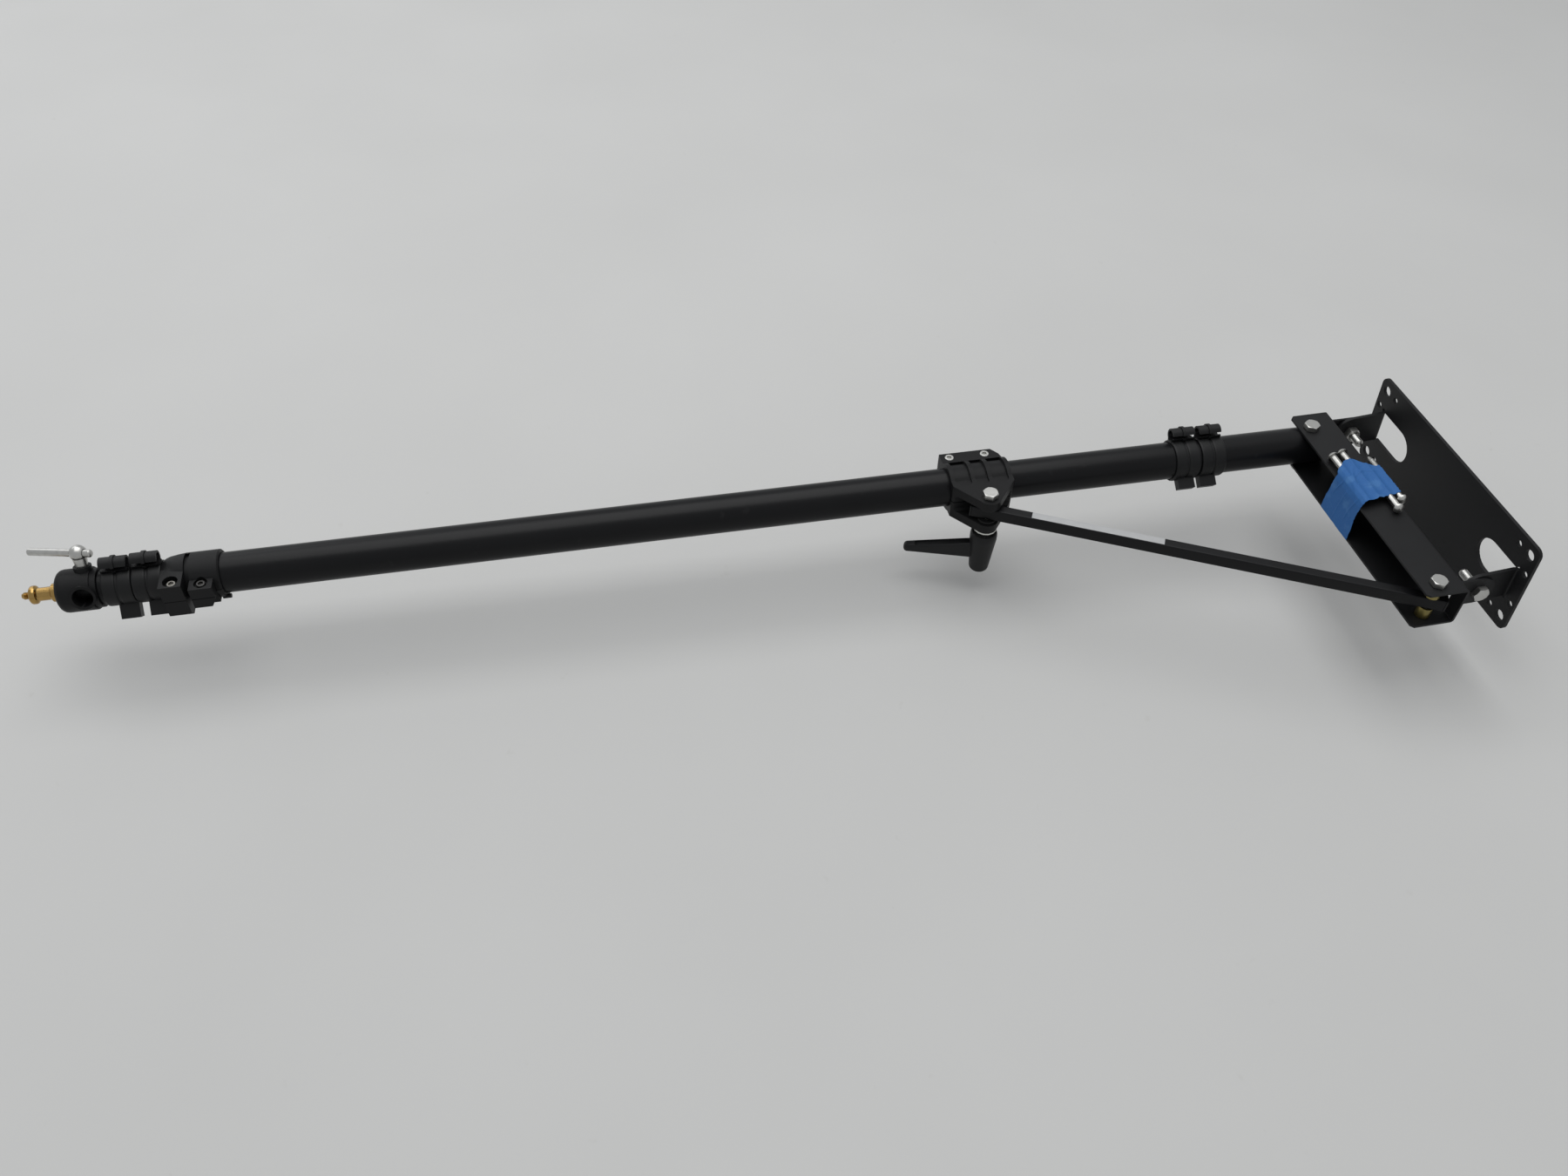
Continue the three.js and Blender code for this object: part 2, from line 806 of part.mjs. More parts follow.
function clampHalf(side) {
  const body = prism(clampSection(), clampLength, 'y');
  const limit = prism(clampOutline(), 4 * clampRing, 'x');
  const cutters = clampBands();
  cutters.push(rod(boltBore / 2 + gap, 0, 2 * clampEarOut, acrossX));
  for (const place of clampScrewPlaces) {
    const hole = rod(screwBore / 2 + gap, -overrun, 2 * lugRise, acrossX);
    cutters.push(hole.translate(0, place, clampDrop + clampScrewReach));
  }
  if (side > 0) {
    for (const place of clampScrewPlaces) {
      const well = rod(screwHead / 2 + gap, lugRise - screwHeadHeight, 2 * lugRise, acrossX);
      cutters.push(well.translate(0, place, clampDrop + clampScrewReach));
    }
  }
  const half = carve([body], cutters, [limit]);
  return side > 0 ? half : geometryOf(solid(half.scale(-1, 1, 1)));
}

// A socket screw with its head at 0, the shank along a direction
function socketScrew(length, direction, head = screwHead, rise = screwHeadHeight) {
  return turned([
    [0, -rise / 3],
    [screwSocket / 2, -rise / 3],
    [screwSocket / 2, -rise],
    [head / 2 - gap, -rise],
    [head / 2, -rise + gap],
    [head / 2, 0],
    [screwBore / 2, 0],
    [screwBore / 2, length],
    [0, length],
  ], direction, smallSteps);
}

function clampScrew(place) {
  const length = 2 * lugRise - screwHeadHeight - overrun;
  const seat = lugRise - screwHeadHeight + gap;
  return socketScrew(length, left).translate(seat, place, clampDrop + clampScrewReach);
}

function clampBolt() {
  return hexBolt(clampBoltShank, right).translate(clampEarOut + gap, 0, 0);
}

function strutWasher(direction) {
  const from = strutThick / 2 + gap;
  const to = clampEarIn - gap;
  return ring(washerWidth / 2, boltBore / 2 + gap, from, to, direction);
}

// Indexing lever, in the clamp's frame, hanging below the lower ear along -X
const leverSeat = clampEarOut + gap;
const hubTop = leverSeat + leverWasher + gap + leverNeckDrop;

function leverWasherRing() {
  return ring(leverWasherWidth / 2, boltBore / 2 + gap, leverSeat, leverSeat + leverWasher, left);
}

// The steel insert: a neck that bears on the washer and a splined core in the hub
function leverInsert() {
  const bore = boltBore / 2 + gap;
  const core = bore + insertWall;
  const start = hubTop - leverNeckDrop;
  const foot = clampBoltShank - clampEarOut + overrun;
  const body = turned([
    [bore, start],
    [leverNeck / 2 + 1.5 * gap, start],
    [leverNeck / 2 + 1.5 * gap, start + leverNeckDrop - gap],
    [core, start + leverNeckDrop - gap],
    [core, foot],
    [bore, foot],
    [bore, start],
  ], left);
  return body;
}

function leverHub() {
  const body = turned([
    [0, 0],
    [hubTopWidth / 2, 0],
    [hubWidth / 2, hubShoulder],
    [hubWidth / 2, hubShoulder * 2],
    [hubFootWidth / 2, hubHeight - hubRound],
    [hubFootWidth / 2 - hubRound * 0.3, hubHeight - hubRound * 0.3],
    [hubFootWidth / 2 - hubRound, hubHeight],
    [0, hubHeight],
  ], left, clipSteps);
  return body.translate(-hubTop, 0, 0);
}

// The arm: a tapering blade with rounded edges and a groove along its upper face
function leverArm() {
  const edge = leverThickness / 5;
  const root = leverRootHeight / 2 - edge;
  const tip = leverTipHeight / 2 - edge;
  const blade = polygon([
    [-leverRootDrop + root, 0],
    ...arc(-leverTipDrop, leverReach - tip - edge, tip, 0, Math.PI, boltSteps),
    [-leverRootDrop - root, 0],
  ]);
  const arm = new THREE.ExtrudeGeometry(blade, {
    depth: leverThickness - 2 * edge,
    bevelEnabled: true,
    bevelSize: edge,
    bevelThickness: edge,
    bevelSegments: 2,
  });
  arm.translate(0, 0, -leverThickness / 2 + edge);
  arm.scale(1, -1, 1);
  const slope = Math.atan2(leverTipDrop - leverRootDrop - root + tip, leverReach);
  const slotFrom = -leverReach * 0.8;
  const slotTo = -hubWidth / 2 - overrun;
  const groove = block(-grooveDepth, overrun, slotFrom, slotTo, -leverGroove / 2, leverGroove / 2);
  groove.rotateZ(-slope).translate(-leverRootDrop + root + edge, 0, 0);
  return carve([arm], [groove]).rotateX(-leverRest).translate(-hubTop, 0, 0);
}

function leverHandle() {
  const bore = boltBore / 2 + gap + insertWall + gap;
  const foot = clampBoltShank - clampEarOut + overrun + gap;
  const seat = -hubTop - hubHeight;
  return carve([leverHub(), leverArm()], [
    rod(bore, hubTop - overrun, foot, left),
    rod(screwBore / 2 + gap, hubTop, hubTop + 2 * hubHeight, left),
    rod(leverScrewHead / 2 + gap, -overrun, hubRound, right).translate(seat, 0, 0),
  ]);
}

// The screw that holds the handle on its insert
function leverScrew() {
  const reach = hubTop + hubHeight - (clampBoltShank - clampEarOut + overrun);
  const screw = turned([
    [0, -hubRound + gap],
    [leverScrewHead / 2, -hubRound + gap],
    [leverScrewHead / 2, 0],
    [screwBore / 2, 0],
    [screwBore / 2, reach - hubRound - gap],
    [0, reach - hubRound - gap],
  ], right);
  return screw.translate(-hubTop - hubHeight + hubRound - gap, 0, 0);
}

// Strut, along -Y from its rear pivot
const tiltRise = Math.sin(tiltRest);
const tiltRun = Math.cos(tiltRest);
const strutRise = boomPivotUp + strutPivotDown + clampPlace * tiltRise - clampDrop * tiltRun;
const strutRun = boomPivotOut - strutPivotOut + clampPlace * tiltRun + clampDrop * tiltRise;
const strutAngle = Math.atan2(strutRise, strutRun);
const strutReach = Math.hypot(strutRise, strutRun);

function strutTube() {
  const hollow = roundedRectangle(strutThick - 2 * strutWall, strutWide - 2 * strutWall, strutRound / 2, 4);
  const outline = roundedRectangle(strutThick, strutWide, strutRound, smallSteps);
  const section = polygon(outline, [hollow.reverse()]);
  const length = strutReach + strutFrontOver + strutRearOver - 2 * (plugRim + gap);
  const middle = -(strutReach + strutFrontOver - strutRearOver) / 2;
  const body = prism(section, length, 'y').translate(0, middle, 0);
  const bore = rod(boltBore / 2 + gap, -strutThick, strutThick, acrossX);
  return carve([body], [bore.clone(), bore.clone().translate(0, -strutReach, 0)]);
}

// A plug in each end of the strut, clear of the bolts
function strutEndPlug(place, way) {
  const rim = prism(polygon(roundedRectangle(strutThick, strutWide, strutRound, smallSteps)), plugRim, 'y');
  const inside = 2 * (strutWall + gap);
  const inner = roundedRectangle(strutThick - inside, strutWide - inside, strutRound / 2, 4);
  const core = prism(polygon(inner), strutPlug, 'y');
  rim.translate(0, place - (way * plugRim) / 2, 0);
  core.translate(0, place - way * (strutPlug / 2 + gap), 0);
  return carve([rim, core]);
}

function strutLabel() {
  const body = block(0, labelSheet, -labelLength / 2, labelLength / 2, -strutWide / 2, strutWide / 2);
  body.scale(1, 1, (strutWide - 2 * strutRound + labelMargin) / strutWide);
  return body.translate(strutThick / 2 + labelGap, -strutReach + labelSetback + labelLength / 2, 0);
}

// Lock collar, in the boom's frame: two castings round the tube's mouth
const lockEnd = lockStart + lockLength;
const grooveStart = lockStart + lockLength * lockGrooveShare;
const grooveEnd = grooveStart + lockGroove;
const lockRear = {
  top: lockRearTop,
  foot: lockRearFoot,
  from: lockStart + lockLugInset,
  to: grooveStart + weld,
  recess: lockRearRecess,
  depth: lockRearDepth,
};
const lockFront = {
  top: lockFrontTop,
  foot: lockFrontFoot,
  from: grooveEnd - weld,
  to: lockEnd - lockEdge / 3,
  recess: lockFrontRecess,
  depth: lockFrontDepth,
};

function lockLug(band) {
  const section = polygon([
    [band.top, -lockRing / 3],
    [band.top, -lockLugReach],
    [-band.foot + lockLugRound, -lockLugReach],
    [-band.foot, -lockLugReach + lockLugRound],
    [-band.foot, -lockRing * 0.75],
    [-lockRing * 0.62, -lockRing / 3],
  ]);
  return prism(section, band.to - band.from, 'y').translate(0, -(band.from + band.to) / 2, 0);
}

function lockBody() {
  const dome = turned([
    [0, lockStart],
    [lockRing - lockEdge / 2, lockStart],
    [lockRing, lockStart + lockEdge / 2],
    [lockRing, grooveEnd],
    [lockRing - (lockRing - lockNose) * 0.2, grooveEnd + (lockEnd - grooveEnd) * 0.35],
    [lockRing - (lockRing - lockNose) * 0.5, grooveEnd + (lockEnd - grooveEnd) * 0.7],
    [lockNose + lockEdge / 4, lockEnd - lockEdge],
    [lockNose - lockEdge / 3, lockEnd],
    [0, lockEnd],
  ], forward, tubeSteps);
  const slant = Math.SQRT1_2 * (lockRing - lockNub / 8);
  const nub = rod(lockNub / 2, lockStart - lockNubReach, lockStart + lockNub, forward, smallSteps);
  return carve([dome, lockLug(lockRear), lockLug(lockFront), nub.translate(-slant, 0, -slant)]);
}

// The groove runs round the lug's side and stops short of the top
function lockGrooveCut() {
  const reach = 2 * lockLugReach;
  const groove = ring(reach, lockRing - lockGrooveDepth, grooveStart, grooveEnd, forward, tubeSteps);
  const keep = block(-reach, reach, -grooveEnd - overrun, -grooveStart + overrun, -reach, lockGrooveTop);
  return carve([groove], [], [keep]);
}

// The rear lug's lower end is cut off at a slant
function lockHeel() {
  const from = lockRear.from;
  const heel = polygon([
    [-lockChamfer / 4, -from + overrun],
    [-lockChamfer / 4, -from],
    [-lockRear.foot - overrun, -from - lockChamfer],
    [-2 * lockFront.foot, -from - lockChamfer],
    [-2 * lockFront.foot, -from + overrun],
  ]);
  const depth = lockLugReach;
  return prism(heel, depth, 'z').translate(0, 0, -lockRing - depth / 2);
}

const lockScrewPlace = (band) => -(band.from + band.to) / 2;

function lockHalf(side) {
  const reach = 2 * lockLugReach;
  const keep = block(lockSplit / 2, reach, -lockEnd - overrun, -lockStart + 2 * lockNub, -reach, reach);
  if (side < 0) keep.scale(-1, 1, 1);
  const seat = outerFront + gap + bushFlange + gap;
  const cutters = [
    rod(tubeClear, lockStart - 2 * lockNub, seat, forward, tubeSteps),
    rod(innerTube / 2 + gap, lockStart, lockEnd + overrun, forward, tubeSteps),
    lockGrooveCut(),
    lockHeel(),
  ];
  for (const band of [lockRear, lockFront]) {
    const place = lockScrewPlace(band);
    const hole = rod(screwBore / 2 + gap, -2 * band.foot, 2 * band.foot, acrossX);
    cutters.push(hole.translate(0, place, -lockScrewReach));
    const well = rod(band.recess / 2, band.top - band.depth, 2 * band.top, acrossX);
    cutters.push(well.translate(0, place, -lockScrewReach));
  }
  return carve([lockBody()], cutters, [keep]);
}

function lockScrew(band) {
  const seat = band.top - band.depth + gap;
  const length = seat + band.foot - overrun - gap;
  const screw = socketScrew(length, left, lockHead, lockHeadHeight);
  return screw.translate(seat, lockScrewPlace(band), -lockScrewReach);
}

// Cable clip: a thin snap ring with a cable loop at one side and a foot at the other.
// The foot is set along the ring by a distance, forward or back.
function cableClip(tube, set) {
  const inner = tube / 2 + gap;
  const outer = inner + clipWall;
  const half = clipWidth / 2;
  const band = turned([
    [inner, -half],
    [outer, -half],
    [outer, -half + clipRim],
    [outer - clipStep, -half + clipRim],
    [outer - clipStep, half - clipRim],
    [outer, half - clipRim],
    [outer, half],
    [inner, half],
    [inner, -half],
  ], forward, clipSteps);
  const reach = outer + loopWidth / 2 - loopSink;
  const loopHalf = half - loopEnd;
  const loop = rod(loopWidth / 2, -loopHalf, loopHalf, forward, smallSteps).translate(reach, 0, 0);
  const nub = rod(loopWidth / 2 + loopNubRise, -loopNub / 2, loopNub / 2, forward, smallSteps);
  nub.translate(reach, 0, 0);
  const stops = [-1, 1].map((end) => {
    const stop = block(inner + clipStep, outer + stopReach, 0, stopThick, -stopWidth / 2, stopWidth / 2);
    return stop.translate(0, end * (half - stopThick / 2) - stopThick / 2, 0);
  });
  const footHalf = footLength / 2;
  const foot = block(-footRadius, -inner - clipStep, -footHalf, footHalf, -footThick / 2, footThick / 2);
  foot.translate(0, -set, 0);
  const slit = block(-2 * outer, 0, -clipWidth, clipWidth, footThick / 2, footThick / 2 + clipSlit);
  const bore = rod(loopBore / 2, -clipWidth, clipWidth, forward, smallSteps).translate(reach, 0, 0);
  const mouth = block(0, loopWidth, -clipWidth, clipWidth, -loopMouth / 2, loopMouth / 2);
  mouth.rotateY(mouthTurn).translate(reach, 0, 0);
  const hollow = rod(inner, -clipWidth, clipWidth, forward, clipSteps);
  const parts = [band, loop, nub, ...stops, foot.rotateY(-footTurn)];
  return carve(parts, [bore, mouth, slit.rotateY(-footTurn), hollow]);
}

// Clip rolls round the tube in the photograph
const clipRolls = { rearNear: 22, rearFar: 24, frontNear: 12, frontFar: 8 };

// End socket, in the boom's frame
function socketBody() {
  const half = socketWidth / 2;
  const plug = innerTube / 2 - innerWall - gap;
  return turned([
    [0, socketSeat - socketPlug],
    [plug - gap, socketSeat - socketPlug],
    [plug, socketSeat - socketPlug + gap],
    [plug, innerFront + gap],
    [socketSkirt / 2, innerFront + gap],
    [socketSkirt / 2, socketSeat],
    [half, socketSeat + gap],
    [half, socketFront - socketRound],
    [half - socketRound * 0.3, socketFront - socketRound * 0.3],
    [half - socketRound, socketFront],
    [0, socketFront],
  ], forward, clipSteps);
}

function endSocket() {
  const rimReach = socketWidth / 2 + crossRimRise;
  const rim = rod(crossRim / 2, -rimReach, rimReach, upZ);
  const boss = rod(bossWidth / 2, 0, bossRise, acrossX);
  const parts = [rim, boss].map((part) => part.rotateY(-screwRoll).translate(0, -crossPlace, 0));
  const bores = [
    rod(spigotBore / 2, -socketWidth, socketWidth, upZ),
    rod(tScrewWidth / 2 + gap, 0, 2 * bossRise, acrossX),
  ].map((part) => part.rotateY(-screwRoll).translate(0, -crossPlace, 0));
  const axial = rod(spigotBore / 2, socketFront - spigotInside - 2 * gap, socketFront + overrun, forward);
  const pin = rod(socketPin / 2 + gap, -innerTube, innerTube, acrossX).translate(0, -pinPlace, 0);
  return carve([socketBody(), ...parts], [...bores, axial, pin]);
}

function socketPinRod() {
  const reach = innerTube / 2 - gap;
  return rod(socketPin / 2, -reach, reach, acrossX).translate(0, -pinPlace, 0);
}

function spigot() {
  const start = socketFront - spigotInside;
  const wide = spigotWidth / 2;
  const neck = spigotNeck / 2;
  const thread = spigotThread / 2;
  const collar = socketFront + spigotCollar;
  const flange = collar + spigotNeckLength;
  const stud = flange + spigotFlange;
  return turned([
    [0, start],
    [wide - spigotChamfer, start],
    [wide, start + spigotChamfer],
    [wide, collar - spigotChamfer],
    [wide - spigotChamfer, collar],
    [neck, collar],
    [neck, flange],
    [wide - spigotChamfer, flange],
    [wide, flange + spigotChamfer],
    [wide, stud - spigotChamfer],
    [wide - spigotChamfer, stud],
    [thread, stud],
    [thread, stud + spigotThreadLength - spigotChamfer],
    [thread - spigotChamfer, stud + spigotThreadLength],
    [0, stud + spigotThreadLength],
  ], forward);
}

// T-screw, in its own frame: its axis along +X, the bar along Y
function tScrew() {
  const sphere = new THREE.SphereGeometry(tBallWidth / 2, smallSteps, smallSteps / 2);
  const ball = sphere.translate(tBallRise, 0, 0);
  const shank = rod(tScrewWidth / 2, spigotWidth / 2 + gap, tBallRise, acrossX);
  const bore = rod(tBarWidth / 2 + gap, -tBallWidth, tBallWidth, alongY).translate(tBallRise, 0, 0);
  return carve([ball, shank], [bore]);
}

function tBar() {
  const radius = tBarWidth / 2;
  const chamfer = radius / 3;
  const bar = turned([
    [0, -tBarBack],
    [radius - chamfer, -tBarBack],
    [radius, -tBarBack + chamfer],
    [radius, tBarFront - chamfer],
    [radius - chamfer, tBarFront],
    [0, tBarFront],
  ], forward);
  return bar.translate(tBallRise, 0, 0);
}

// Assembly
const wallBoomArm = new THREE.Group();
wallBoomArm.add(piece('wall_plate', wallPlate(), powderBlack()));

const swivelGroup = new THREE.Group();
swivelGroup.position.set(0, -swivelReach, 0);
swivelGroup.rotation.z = swivelRest;
swivelGroup.add(
  piece('swivel_channel', swivelChannel(), powderBlack()),
  piece('upper_swivel_bolt', swivelBolt(up), zinc()),
  piece('upper_swivel_nut', swivelNut(up), zinc()),
  piece('lower_swivel_bolt', swivelBolt(down), zinc()),
  piece('lower_swivel_nut', swivelNut(down), zinc()),
  piece('boom_pivot_bolt', boomPivotBolt(), zinc()),
  piece('boom_pivot_nut', boomPivotNut(), zinc()),
  piece('strut_pivot_bolt', strutPivotBolt(), zinc()),
  piece('strut_pivot_nut', strutPivotNut(), zinc()),
  piece('strut_spacer_upper', strutSpacer(right), yellowZinc()),
  piece('strut_spacer_lower', strutSpacer(left), yellowZinc()),
  ...spareShares.map((share, i) => piece('spare_screw_' + (i + 1), spareScrew(share), zinc())),
  piece('masking_tape', maskingTape(), tapeBlue()),
);
wallBoomArm.add(swivelGroup);

const boomGroup = new THREE.Group();
boomGroup.position.set(0, -boomPivotOut, boomPivotUp);
boomGroup.rotation.x = -tiltRest;
boomGroup.add(
  piece('outer_tube', outerBoomTube(), satinBlack()),
  piece('rear_insert', rearInsert(), plasticBlack()),
  piece('guide_bush', guideBush(), plasticBlack()),
  piece('inner_tube', innerBoomTube(), satinBlack()),
  piece('rear_glide', rearGlide(), plasticBlack()),
  piece('lock_collar_upper', lockHalf(1), castBlack()),
  piece('lock_collar_lower', lockHalf(-1), castBlack()),
  piece('lock_collar_screw_front', lockScrew(lockFront), zinc()),
  piece('lock_collar_screw_rear', lockScrew(lockRear), blackOxide()),
  piece('end_socket', endSocket(), castBlack()),
  piece('socket_pin', socketPinRod(), zinc()),
  piece('spigot', spigot(), brass()),
);
swivelGroup.add(boomGroup);

const clips = [
  ['rear_cable_clip_near', outerTube, rearClipFirst, clipRolls.rearNear, footSet],
  ['rear_cable_clip_far', outerTube, rearClipFirst + rearClipPitch, clipRolls.rearFar, 0],
  ['front_cable_clip_near', innerTube, clipStart, clipRolls.frontNear, -footSet],
  ['front_cable_clip_far', innerTube, clipStart + clipSpacing, clipRolls.frontFar, -footSet],
];
for (const [name, tube, place, roll, set] of clips) {
  const body = cableClip(tube, set).rotateY(-roll * degree);
  const clip = piece(name, body, plasticBlack());
  clip.position.set(0, -place, 0);
  boomGroup.add(clip);
}

const screwGroup = new THREE.Group();
screwGroup.position.set(0, -crossPlace, 0);
screwGroup.rotation.y = -screwRoll;
const barGroup = new THREE.Group();
barGroup.rotation.x = tBarTurn;
barGroup.add(piece('t_screw', tScrew(), zinc()), piece('t_bar', tBar(), zinc()));
screwGroup.add(barGroup);
boomGroup.add(screwGroup);

const clampGroup = new THREE.Group();
clampGroup.position.set(0, -clampPlace, -clampDrop);
clampGroup.add(
  piece('tilt_clamp_upper', clampHalf(1), castBlack()),
  piece('tilt_clamp_lower', clampHalf(-1), castBlack()),
  piece('tilt_clamp_screw_front', clampScrew(clampScrewPlaces[0]), zinc()),
  piece('tilt_clamp_screw_rear', clampScrew(clampScrewPlaces[1]), zinc()),
  piece('clamp_bolt', clampBolt(), zinc()),
  piece('strut_washer_upper', strutWasher(right), nylon()),
  piece('strut_washer_lower', strutWasher(left), nylon()),
  piece('lever_washer', leverWasherRing(), nylon()),
  piece('lever_insert', leverInsert(), zinc()),
  piece('lever_handle', leverHandle(), plasticBlack()),
  piece('lever_screw', leverScrew(), zinc()),
);
boomGroup.add(clampGroup);

const strutGroup = new THREE.Group();
strutGroup.position.set(0, -strutPivotOut, -strutPivotDown);
strutGroup.rotation.x = -strutAngle;
strutGroup.add(
  piece('strut_tube', strutTube(), satinBlack()),
  piece('strut_front_plug', strutEndPlug(-strutReach - strutFrontOver, -1), plasticBlack()),
  piece('strut_rear_plug', strutEndPlug(strutRearOver, 1), plasticBlack()),
  piece('strut_label', strutLabel(), labelSilver()),
);
swivelGroup.add(strutGroup);

export default wallBoomArm;
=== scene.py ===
"""A wall mounted boom arm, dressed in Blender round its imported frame. Metres, in the frame's own axes."""
import json
import math

import bpy
from mathutils import Matrix, Vector, noise

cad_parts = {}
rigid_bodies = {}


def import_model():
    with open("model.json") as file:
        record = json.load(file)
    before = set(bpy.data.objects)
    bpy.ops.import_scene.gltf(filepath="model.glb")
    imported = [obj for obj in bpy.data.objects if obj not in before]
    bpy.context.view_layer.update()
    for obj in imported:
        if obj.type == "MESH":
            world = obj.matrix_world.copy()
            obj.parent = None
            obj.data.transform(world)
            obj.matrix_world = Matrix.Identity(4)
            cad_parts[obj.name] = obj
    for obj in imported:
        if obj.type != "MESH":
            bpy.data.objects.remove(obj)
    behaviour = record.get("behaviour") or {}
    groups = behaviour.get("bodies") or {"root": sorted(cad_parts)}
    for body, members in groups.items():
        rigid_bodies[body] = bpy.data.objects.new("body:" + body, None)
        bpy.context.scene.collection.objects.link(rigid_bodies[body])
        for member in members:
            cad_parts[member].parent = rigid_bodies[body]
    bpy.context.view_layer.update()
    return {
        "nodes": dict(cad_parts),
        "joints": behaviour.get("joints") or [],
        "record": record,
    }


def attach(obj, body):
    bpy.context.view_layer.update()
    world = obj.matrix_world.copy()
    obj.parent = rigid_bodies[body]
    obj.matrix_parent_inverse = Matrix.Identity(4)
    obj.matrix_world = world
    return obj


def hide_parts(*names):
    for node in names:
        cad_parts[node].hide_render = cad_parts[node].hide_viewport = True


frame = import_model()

# Sizes shared by the pieces, in metres
MM = 0.001
FULL_TURN = 2 * math.pi
WELD = 0.00002
FLAT_ANGLE = math.radians(2)
SHARP_ANGLE = math.radians(32)
BEVEL_ANGLE = math.radians(28)
TUBE_STEPS = 96
ROUND_STEPS = 64
SMALL_STEPS = 32
SHEET_EDGE = 0.35 * MM
CAST_EDGE = 0.6 * MM
BOLT_EDGE = 0.25 * MM
TRIM_EDGE = 0.3 * MM
OVERRUN = 1 * MM

# Joint axes, which place each group of pieces
JOINTS = {joint["name"]: joint for joint in frame["joints"]}


def axis_of(name):
    return Vector(JOINTS[name]["axis"]).normalized()


def place_of(name):
    return Vector(JOINTS[name]["pos_m"])


def axes(x_axis, y_axis, origin):
    """A frame from two square axes and its origin."""
    z_axis = x_axis.cross(y_axis)
    return Matrix.Translation(origin) @ Matrix((x_axis, y_axis, z_axis)).transposed().to_4x4()


across = axis_of("lever_turn")
boom_back = -axis_of("telescope")
BOOM = axes(across, boom_back, place_of("boom_tilt"))
CLAMP = axes(across, boom_back, place_of("lever_turn"))
BRACKET = axes(across, Vector((0, 0, 1)).cross(across), place_of("swivel"))
SCREW = axes(axis_of("t_screw_turn"), -axis_of("t_bar_slide"), place_of("t_screw_turn"))


# Shader sums written as plain expressions

class Shade:
    """One output socket of a material, which takes part in sums."""

    def __init__(self, finish, socket):
        self.finish = finish
        self.socket = socket

    def math(self, operation, first, second):
        return self.finish.node("ShaderNodeMath", {"operation": operation}, [first, second])

    def __add__(self, other):
        return self.math("ADD", self, other)

    def __radd__(self, other):
        return self.math("ADD", other, self)

    def __mul__(self, other):
        return self.math("MULTIPLY", self, other)

    def __rmul__(self, other):
        return self.math("MULTIPLY", other, self)


class Finish:
    """A surface finish, with its shader and the few node makers that the finishes share."""

    def __init__(self, name, metallic=0.0, specular=0.5):
        self.material = bpy.data.materials.new(name)
        self.material.use_nodes = True
        self.tree = self.material.node_tree
        self.shader = self.tree.nodes["Principled BSDF"]
        self.shader.inputs["Metallic"].default_value = metallic
        self.shader.inputs["Specular IOR Level"].default_value = specular
        self.place = self.node("ShaderNodeTexCoord", output="Object")

    def node(self, kind, settings=None, sockets=(), output=0):
        """Any node: its settings first, then its sockets, by order or by name."""
        made = self.tree.nodes.new(kind)
        for key, value in (settings or {}).items():
            setattr(made, key, value)
        pairs = sockets.items() if isinstance(sockets, dict) else enumerate(sockets)
        for key, value in pairs:
            self.feed(made.inputs[key], value)
        return Shade(self, made.outputs[output])

    def feed(self, socket, value):
        if isinstance(value, Shade):
            self.tree.links.new(value.socket, socket)
        else:
            socket.default_value = value

    def stretched(self, scale):
        return self.node("ShaderNodeMapping", sockets={"Vector": self.place, "Scale": scale})

    def noise(self, scale, detail=2.0, place=None):
        sockets = {"Vector": place or self.place, "Scale": scale, "Detail": detail}
        return self.node("ShaderNodeTexNoise", sockets=sockets)

    def ramp(self, shade, low, high):
        """0 below low and 1 above high, with a soft step between."""
        sockets = {"Value": shade, "From Min": low, "From Max": high}
        return self.node("ShaderNodeMapRange", {"interpolation_type": "SMOOTHSTEP"}, sockets)

    def mix(self, factor, first, second):
        """Two colours mixed."""
        made = self.tree.nodes.new("ShaderNodeMix")
        made.data_type = "RGBA"
        self.feed(made.inputs[0], factor)
        for socket, value in zip((made.inputs[6], made.inputs[7]), (first, second)):
            self.feed(socket, value if isinstance(value, Shade) else (*value, 1.0))
        return Shade(self, made.outputs[2])

    def bump(self, height, distance, strength):
        sockets = {"Height": height, "Distance": distance, "Strength": strength}
        self.feed(self.shader.inputs["Normal"], self.node("ShaderNodeBump", sockets=sockets))

    def wear(self, colour, roughness):
        self.feed(self.shader.inputs["Base Color"], colour)
        self.feed(self.shader.inputs["Roughness"], roughness)
        return self.material


def powder_coat():
    finish = Finish("black_powder_coat", specular=0.22)
    grain = finish.noise(2600, 3.0)
    cloud = finish.noise(38, 3.0)
    dust = finish.ramp(finish.noise(620, 4.0), 0.69, 0.76)
    body = finish.mix(cloud, (0.0058, 0.0060, 0.0066), (0.0102, 0.0104, 0.0112))
    colour = finish.mix(dust * 0.3, body, (0.062, 0.060, 0.056))
    finish.bump(grain, 0.00012, 0.55)
    return finish.wear(colour, 0.46 + 0.10 * cloud)


def satin_tube():
    finish = Finish("satin_black_tube", specular=0.18)
    streak = finish.noise(5.0, 4.0, finish.stretched((260, 3, 260)))
    cloud = finish.noise(16, 3.0)
    scuff = finish.ramp(finish.noise(90, 5.0), 0.64, 0.78)
    body = finish.mix(cloud, (0.0036, 0.0037, 0.0043), (0.0060, 0.0061, 0.0068))
    colour = finish.mix(scuff * 0.25, body, (0.020, 0.020, 0.021))
    finish.bump(streak, 0.00003, 0.30)
    return finish.wear(colour, 0.30 + 0.08 * streak + 0.10 * scuff)


